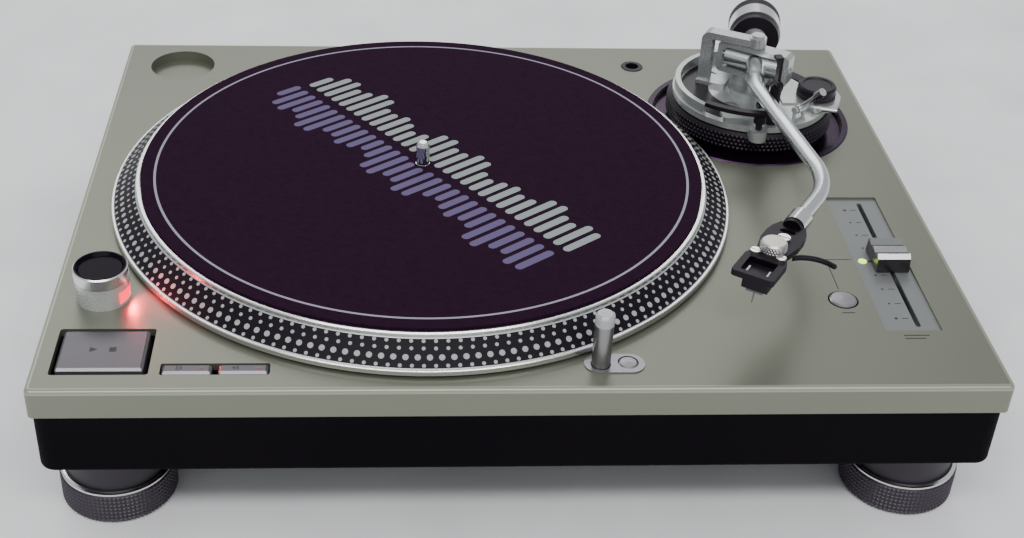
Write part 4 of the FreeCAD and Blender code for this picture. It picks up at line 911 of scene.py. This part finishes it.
class PLAYER_OT_mat_print(PlayerOperator, bpy.types.Operator):
    """Print a mirrored wave of bars on the mat"""

    bl_idname = "player.mat_print"
    bl_label = "Mat print"

    def execute(self, context):
        mat = settings().mat
        along = Vector((math.cos(mat.angle), math.sin(mat.angle)))
        across = Vector((-along.y, along.x))
        hole = SPINDLE_RADIUS + 3.0 * MM
        axis_gap = 2.6 * MM
        shortest = 2 * MM
        middle = Vector((PLATTER_CENTRE.x, PLATTER_CENTRE.y))
        parts = (
            ("mat_print_pale", 1, mat.pale, 0.0), ("mat_print_muted", -1, mat.muted, 0.35),
        )
        for name, side, shade, shift in parts:
            bm = bmesh.new()
            for index in range(mat.bars):
                spot = (index - (mat.bars - 1) / 2 - shift) * mat.pitch
                wave = abs(math.sin(index * 0.78 + 0.5)) * 0.55 + abs(math.sin(index * 0.29 + 0.2)) * 0.45
                length = mat.tallest * (0.30 + 0.70 * wave)
                low = axis_gap + mat.width / 2
                if abs(spot) < hole:
                    low = max(low, hole)
                start = middle + along * spot + across * (side * low)
                end = middle + along * spot + across * (side * max(length, low + shortest))
                slab(bm, rounded_bar(start, end, mat.width / 2), MAT_HIGH.z - INK_SINK,
                     MAT_HIGH.z + INK_RISE)
            finish = material(name.replace("_", " "), printed(colour(shade), 0.75))
            piece(name, from_bmesh(bm), finish, "platter")
        return {"FINISHED"}


class PLAYER_OT_foot_knurls(PlayerOperator, bpy.types.Operator):
    """Stud the cup of each foot"""

    bl_idname = "player.foot_knurls"
    bl_label = "Foot knurls"

    def execute(self, context):
        knurl = settings().knurl
        finish = material("foot knurl", moulded((0.030, 0.020, 0.034), 0.34, 0.1))
        cup_height = 13.6 * MM
        first_row = 1.9 * MM
        for foot in FEET:
            low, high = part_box(foot)
            middle = (low + high) / 2
            spacing = cup_height / max(knurl.foot_rows - 1, 1)
            mesh = ring_of(
                Foot_Radius=1.25 * MM, Top_Radius=0.5 * MM, Rise=knurl.foot_rise,
                Count=knurl.foot_count, Drum_Radius=(high.x - low.x) / 2 - KNURL_SINK,
                Rows=knurl.foot_rows, Start=first_row, Spacing=spacing,
                Centre=(middle.x, middle.y, 0.0), Finish=finish,
            )
            piece(f"{foot}_knurl", mesh, finish, foot)
        return {"FINISHED"}


class PLAYER_OT_arm_knurls(PlayerOperator, bpy.types.Operator):
    """Knurl the height ring, the counterweight and the anti-skate dial"""

    bl_idname = "player.arm_knurls"
    bl_label = "Arm knurls"

    def execute(self, context):
        knurl = settings().knurl
        dark = material("knurled black", moulded((0.022, 0.015, 0.024), 0.3, 0.1))
        ring_radius = (RING_HIGH.x - RING_LOW.x) / 2
        mesh = ring_of(
            Foot_Radius=1.1 * MM, Top_Radius=0.4 * MM, Rise=0.5 * MM, Count=knurl.ring_count,
            Drum_Radius=ring_radius - KNURL_SINK, Rows=4, Start=RING_LOW.z + 2.0 * MM,
            Spacing=2.4 * MM, Stagger=1.0, Centre=(PIVOT.x, PIVOT.y, 0.0), Finish=dark,
        )
        piece("height_ring_knurl", mesh, dark, "height_ring")

        low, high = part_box("counterweight")
        middle = (low + high) / 2
        mesh = ring_of(
            Foot_Radius=0.85 * MM, Top_Radius=0.3 * MM, Rise=0.4 * MM, Count=knurl.weight_count,
            Drum_Radius=15.45 * MM, Rows=4, Start=4.3 * MM, Spacing=1.6 * MM, Stagger=1.0,
            Turn=(math.pi / 2 + PARKED_LIFT, 0.0, math.pi - PARKED_ANGLE),
            Centre=tuple(middle), Finish=dark,
        )
        piece("counterweight_knurl", mesh, dark, "counterweight")

        low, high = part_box("anti_skate_dial")
        middle = (low + high) / 2
        mesh = ring_of(
            Foot_Radius=0.7 * MM, Top_Radius=0.3 * MM, Rise=0.35 * MM, Count=48,
            Drum_Radius=(high.x - low.x) / 2 - KNURL_SINK, Rows=3, Start=low.z + 1.6 * MM,
            Spacing=1.7 * MM, Centre=(middle.x, middle.y, 0.0), Finish=dark,
        )
        piece("anti_skate_knurl", mesh, dark, "anti_skate_dial")
        return {"FINISHED"}


class PLAYER_OT_arm_trim(PlayerOperator, bpy.types.Operator):
    """Add the dark inlay of the arm's base, the ring round the tube and the headshell's trim"""

    bl_idname = "player.arm_trim"
    bl_label = "Arm trim"

    def execute(self, context):
        inlay = material("arm base inlay", moulded((0.006, 0.003, 0.008), 0.25, 0.05, 0.3))
        top = DECK_Z + 17.0 * MM
        sink, rise = 0.05 * MM, 0.35 * MM
        outer, inner = 41.2 * MM, 25.0 * MM
        first, last = math.radians(128.0), math.radians(246.0)
        steps = 40
        bm = bmesh.new()
        outline = []
        for radius, order in ((outer, 1), (inner, -1)):
            for step in range(steps + 1):
                share = step / steps if order == 1 else 1 - step / steps
                angle = first + (last - first) * share
                outline.append((PIVOT.x + radius * math.cos(angle), PIVOT.y + radius * math.sin(angle)))
        slab(bm, outline, top - sink, top + rise)
        end = Vector((math.cos(last), math.sin(last))) * (outer + inner) / 2
        slab(bm, disc((PIVOT.x + end.x, PIVOT.y + end.y), (outer - inner) / 2, 32), top - sink,
             top + rise + 0.01 * MM)
        piece("arm_base_inlay", from_bmesh(bm), inlay, "arm_base")

        ring_dark = material("moulded ring", moulded((0.010, 0.005, 0.011), 0.3, 0.05, 0.3))
        pivot_low, pivot_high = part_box("pivot_block")
        pivot = (pivot_low + pivot_high) / 2
        pivot.z = DECK_Z + 36.0 * MM
        tube_ring_distance = 29.5 * MM
        tube_radius = 4.05 * MM
        forward = heading(-TUBE_OUT_ANGLE, PARKED_LIFT)
        turn = forward.to_track_quat("Z", "Y").to_matrix().to_4x4()
        bm = bmesh.new()
        place = Matrix.Translation(pivot + forward * tube_ring_distance) @ turn
        profile = (
            (tube_radius, 0.0), (4.65 * MM, 0.3 * MM), (4.75 * MM, 4.2 * MM), (tube_radius, 4.6 * MM)
        )
        lathe(bm, profile, None, 48, place)
        piece("tube_ring", from_bmesh(bm), ring_dark, "arm")

        pale = material("pale trim", plain_metal((0.60, 0.58, 0.60), 0.35))
        nose = heading(SHELL_ANGLE, 0.0)
        side = Vector((-nose.y, nose.x, 0.0))
        weight_low, weight_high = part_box("shell_weight")
        weight = (weight_low + weight_high) / 2
        window = weight + nose * 17.0 * MM
        level = weight_low.z - 2.6 * MM
        bm = bmesh.new()
        across, along = 5.0 * MM, 4.4 * MM
        ahead = nose * (along + 1.4 * MM)
        corners = (
            (window + side * across - nose * along * 0.4, window + side * across + nose * along),
            (window - side * across - nose * along * 0.4, window - side * across + nose * along),
            (window - side * across * 0.8 + ahead, window + side * across * 0.8 + ahead),
        )
        for start, end in corners:
            slab(bm, rounded_bar(start.xy, end.xy, 0.45 * MM), level, level + 0.5 * MM)
        piece("shell_window_trim", from_bmesh(bm), pale, "arm")
        mesh = ring_of(
            Foot_Radius=0.75 * MM, Top_Radius=0.3 * MM, Rise=0.35 * MM, Count=28,
            Drum_Radius=6.15 * MM, Rows=3, Start=weight_low.z + 0.9 * MM, Spacing=1.2 * MM,
            Stagger=1.0, Centre=(weight.x, weight.y, 0.0), Finish=pale,
        )
        piece("shell_weight_knurl", mesh, pale, "arm")
        return {"FINISHED"}


class PLAYER_OT_scales(PlayerOperator, bpy.types.Operator):
    """Print the fader's dots and lines, and the lines on the deck round the reset button and below the fader
    panel
    """

    bl_idname = "player.scales"
    bl_label = "Scales and marks"

    def execute(self, context):
        dark = dark_ink()
        panel_low, panel_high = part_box("pitch_panel")
        middle = (panel_low + panel_high) / 2
        face = panel_high.z - INK_SINK
        raised = panel_high.z + INK_RISE
        bm = bmesh.new()
        scale_step = 12.5 * MM
        for step in range(-4, 5):
            y = middle.y + step * scale_step
            size = 0.85 * MM if step % 4 == 0 else 0.6 * MM
            slab(bm, disc((panel_low.x + 8.5 * MM, y), size, 16), face, raised)
            slab(bm, rounded_bar((panel_low.x + 11.5 * MM, y), (panel_low.x + 14.5 * MM, y), 0.2 * MM),
                 face, raised)
        piece("fader_scale", from_bmesh(bm), dark, "chassis")

        reset_low, reset_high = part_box("reset_button")
        reset = (reset_low + reset_high) / 2
        bm = bmesh.new()
        deck_face = DECK_Z - INK_SINK
        deck_top = DECK_Z + INK_RISE
        turn_y = middle.y
        corner = (reset.x, turn_y)
        below = reset_low.y - 4 * MM
        line_half = 0.22 * MM
        slab(bm, rounded_bar(corner, (panel_low.x - 1.5 * MM, turn_y), line_half), deck_face, deck_top)
        slab(bm, rounded_bar((reset.x, reset_high.y + 2.5 * MM), corner, line_half), deck_face, deck_top)
        slab(bm, rounded_bar((reset.x - 3 * MM, below), (reset.x + 3 * MM, below), 0.3 * MM),
             deck_face, deck_top)
        for offset in (0.0, 2.4):
            y = panel_low.y - (4.0 + offset) * MM
            slab(bm, rounded_bar((middle.x - 6 * MM, y), (middle.x + (6 - offset) * MM, y), 0.3 * MM),
                 deck_face, deck_top)
        piece("deck_lines", from_bmesh(bm), dark, "chassis")
        return {"FINISHED"}


class PLAYER_OT_button_marks(PlayerOperator, bpy.types.Operator):
    """Mark the start button and the speed buttons"""

    bl_idname = "player.button_marks"
    bl_label = "Button marks"

    def execute(self, context):
        dark = dark_ink()
        low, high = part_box("start_stop_button")
        middle = (low + high) / 2
        top = high.z
        bm = bmesh.new()
        apart = 4.5 * MM
        half = 1.6 * MM
        x = middle.x - apart
        y = middle.y
        slab(bm, [(x - half, y - 1.8 * MM), (x + 1.8 * MM, y), (x - half, y + 1.8 * MM)],
             top - INK_SINK, top + INK_RISE)
        x = middle.x + apart
        slab(bm, [(x - half, y - half), (x + half, y - half), (x + half, y + half), (x - half, y + half)],
             top - INK_SINK, top + INK_RISE)
        piece("start_stop_mark", from_bmesh(bm), dark, "start_stop_button")
        red = material("speed lamp red", glowing((0.35, 0.03, 0.03), 0.0))
        for speed in ("33", "45"):
            node = f"speed_{speed}_button"
            low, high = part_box(node)
            middle = (low + high) / 2
            place = Matrix.Translation((middle.x - 3.5 * MM, middle.y, high.z + 0.03 * MM))
            piece(f"speed_{speed}_mark", lettering(speed, 3.4 * MM, place, 0.08 * MM), dark, node)
            bm = bmesh.new()
            slab(bm, disc((middle.x + 7.0 * MM, middle.y), 0.8 * MM, 20), high.z - 0.02 * MM,
                 high.z + 0.12 * MM)
            piece(f"speed_{speed}_lamp", from_bmesh(bm), red, node)
        return {"FINISHED"}


# --- Stage ----------------------------------------------------------------------------------------

def area_light(name, place, aim, size, power, shade=(1.0, 1.0, 1.0)):
    light = bpy.data.lights.new(name, "AREA")
    light.shape = "RECTANGLE"
    light.size, light.size_y = size
    light.energy = power
    light.color = shade
    obj = bpy.data.objects.new(name, light)
    obj.location = place
    obj.rotation_euler = (Vector(aim) - Vector(place)).to_track_quat("-Z", "Y").to_euler()
    bpy.context.scene.collection.objects.link(obj)
    return obj


class PLAYER_OT_stage(PlayerOperator, bpy.types.Operator):
    """Set up the camera, the floor and soft lights"""

    bl_idname = "player.stage"
    bl_label = "Stage"

    def execute(self, context):
        stage = settings().stage
        level = math.cos(CAMERA_PITCH)
        forward = Vector((
            math.sin(CAMERA_YAW) * level, math.cos(CAMERA_YAW) * level, -math.sin(CAMERA_PITCH)
        ))
        right = Vector((math.cos(CAMERA_YAW), -math.sin(CAMERA_YAW), 0.0))
        up = right.cross(forward)
        side = right * math.cos(CAMERA_ROLL) + up * math.sin(CAMERA_ROLL)
        above = up * math.cos(CAMERA_ROLL) - right * math.sin(CAMERA_ROLL)
        camera = bpy.data.cameras.new("camera")
        camera.sensor_width = SENSOR_WIDTH
        camera.lens = stage.lens
        camera.shift_x, camera.shift_y = CAMERA_SHIFT
        camera.clip_start = 0.01
        viewer = bpy.data.objects.new("camera", camera)
        viewer.matrix_world = Matrix((
            (side.x, above.x, -forward.x, CAMERA_PLACE[0]),
            (side.y, above.y, -forward.y, CAMERA_PLACE[1]),
            (side.z, above.z, -forward.z, CAMERA_PLACE[2]),
            (0.0, 0.0, 0.0, 1.0),
        ))
        context.scene.collection.objects.link(viewer)
        context.scene.camera = viewer

        bm = bmesh.new()
        half = stage.floor_size / 2
        corners = [bm.verts.new((x, y, -0.0002)) for x, y in
                   ((-half, -half), (half, -half), (half, half), (-half, half))]
        bm.faces.new(corners)
        mesh = from_bmesh(bm, recalculate=False)
        mesh.name = "floor"
        floor = bpy.data.objects.new("floor", mesh)
        context.scene.collection.objects.link(floor)
        mesh.materials.append(material("floor", moulded(colour(stage.floor), 0.8, 0.02)))

        world = bpy.data.worlds.new("surroundings")
        world.use_nodes = True
        background = world.node_tree.nodes["Background"]
        background.inputs["Color"].default_value = (0.92, 0.95, 1.0, 1.0)
        background.inputs["Strength"].default_value = stage.world
        context.scene.world = world

        area_light("behind", (-0.35, 1.9, 1.55), (0.0, 0.1, 0.05), (2.6, 0.7), stage.key_power)
        area_light("high_front", (-0.1, -1.25, 1.75), (0.0, -0.1, 0.05), (2.4, 0.35), stage.fill_power)
        strobe = settings().strobe
        window_low, window_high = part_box("strobe_window")
        window = (window_low + window_high) / 2
        place = window + Vector((3.5 * MM, -1.2 * MM, 0.0))
        area_light("strobe", place, window + Vector((0.030, -0.008, -0.006)), (6 * MM, 4 * MM),
                   strobe.glow_power, colour(strobe.glow))
        return {"FINISHED"}


PIECE_OPERATORS = (
    PLAYER_OT_stage,
    PLAYER_OT_finishes,
    PLAYER_OT_strobe_dots,
    PLAYER_OT_mat_print,
    PLAYER_OT_foot_knurls,
    PLAYER_OT_arm_knurls,
    PLAYER_OT_arm_trim,
    PLAYER_OT_scales,
    PLAYER_OT_button_marks,
)


class PLAYER_PT_panel(bpy.types.Panel):
    """Lists the sizes, colours and operators"""

    bl_idname = "PLAYER_PT_panel"
    bl_label = "Record Player"
    bl_space_type = "VIEW_3D"
    bl_region_type = "UI"
    bl_category = "Record Player"

    def draw(self, context):
        layout = self.layout
        player = context.scene.record_player
        for group in ("finish", "mat", "strobe", "knurl", "stage"):
            box = layout.box()
            box.label(text=group.title())
            values = getattr(player, group)
            for name in values.bl_rna.properties.keys():
                if name not in {"rna_type", "name"}:
                    box.prop(values, name)
        for operator in PIECE_OPERATORS:
            layout.operator(operator.bl_idname)


CLASSES = (
    FinishSettings,
    MatSettings,
    StrobeSettings,
    KnurlSettings,
    StageSettings,
    PlayerSettings,
    *PIECE_OPERATORS,
    PLAYER_PT_panel,
)


def register():
    for item in CLASSES:
        bpy.utils.register_class(item)
    bpy.types.Scene.record_player = PointerProperty(type=PlayerSettings)


def unregister():
    del bpy.types.Scene.record_player
    for item in reversed(CLASSES):
        bpy.utils.unregister_class(item)


def main():
    register()
    for operator in PIECE_OPERATORS:
        group, name = operator.bl_idname.split(".")
        getattr(getattr(bpy.ops, group), name)()


if __name__ == "__main__":
    main()
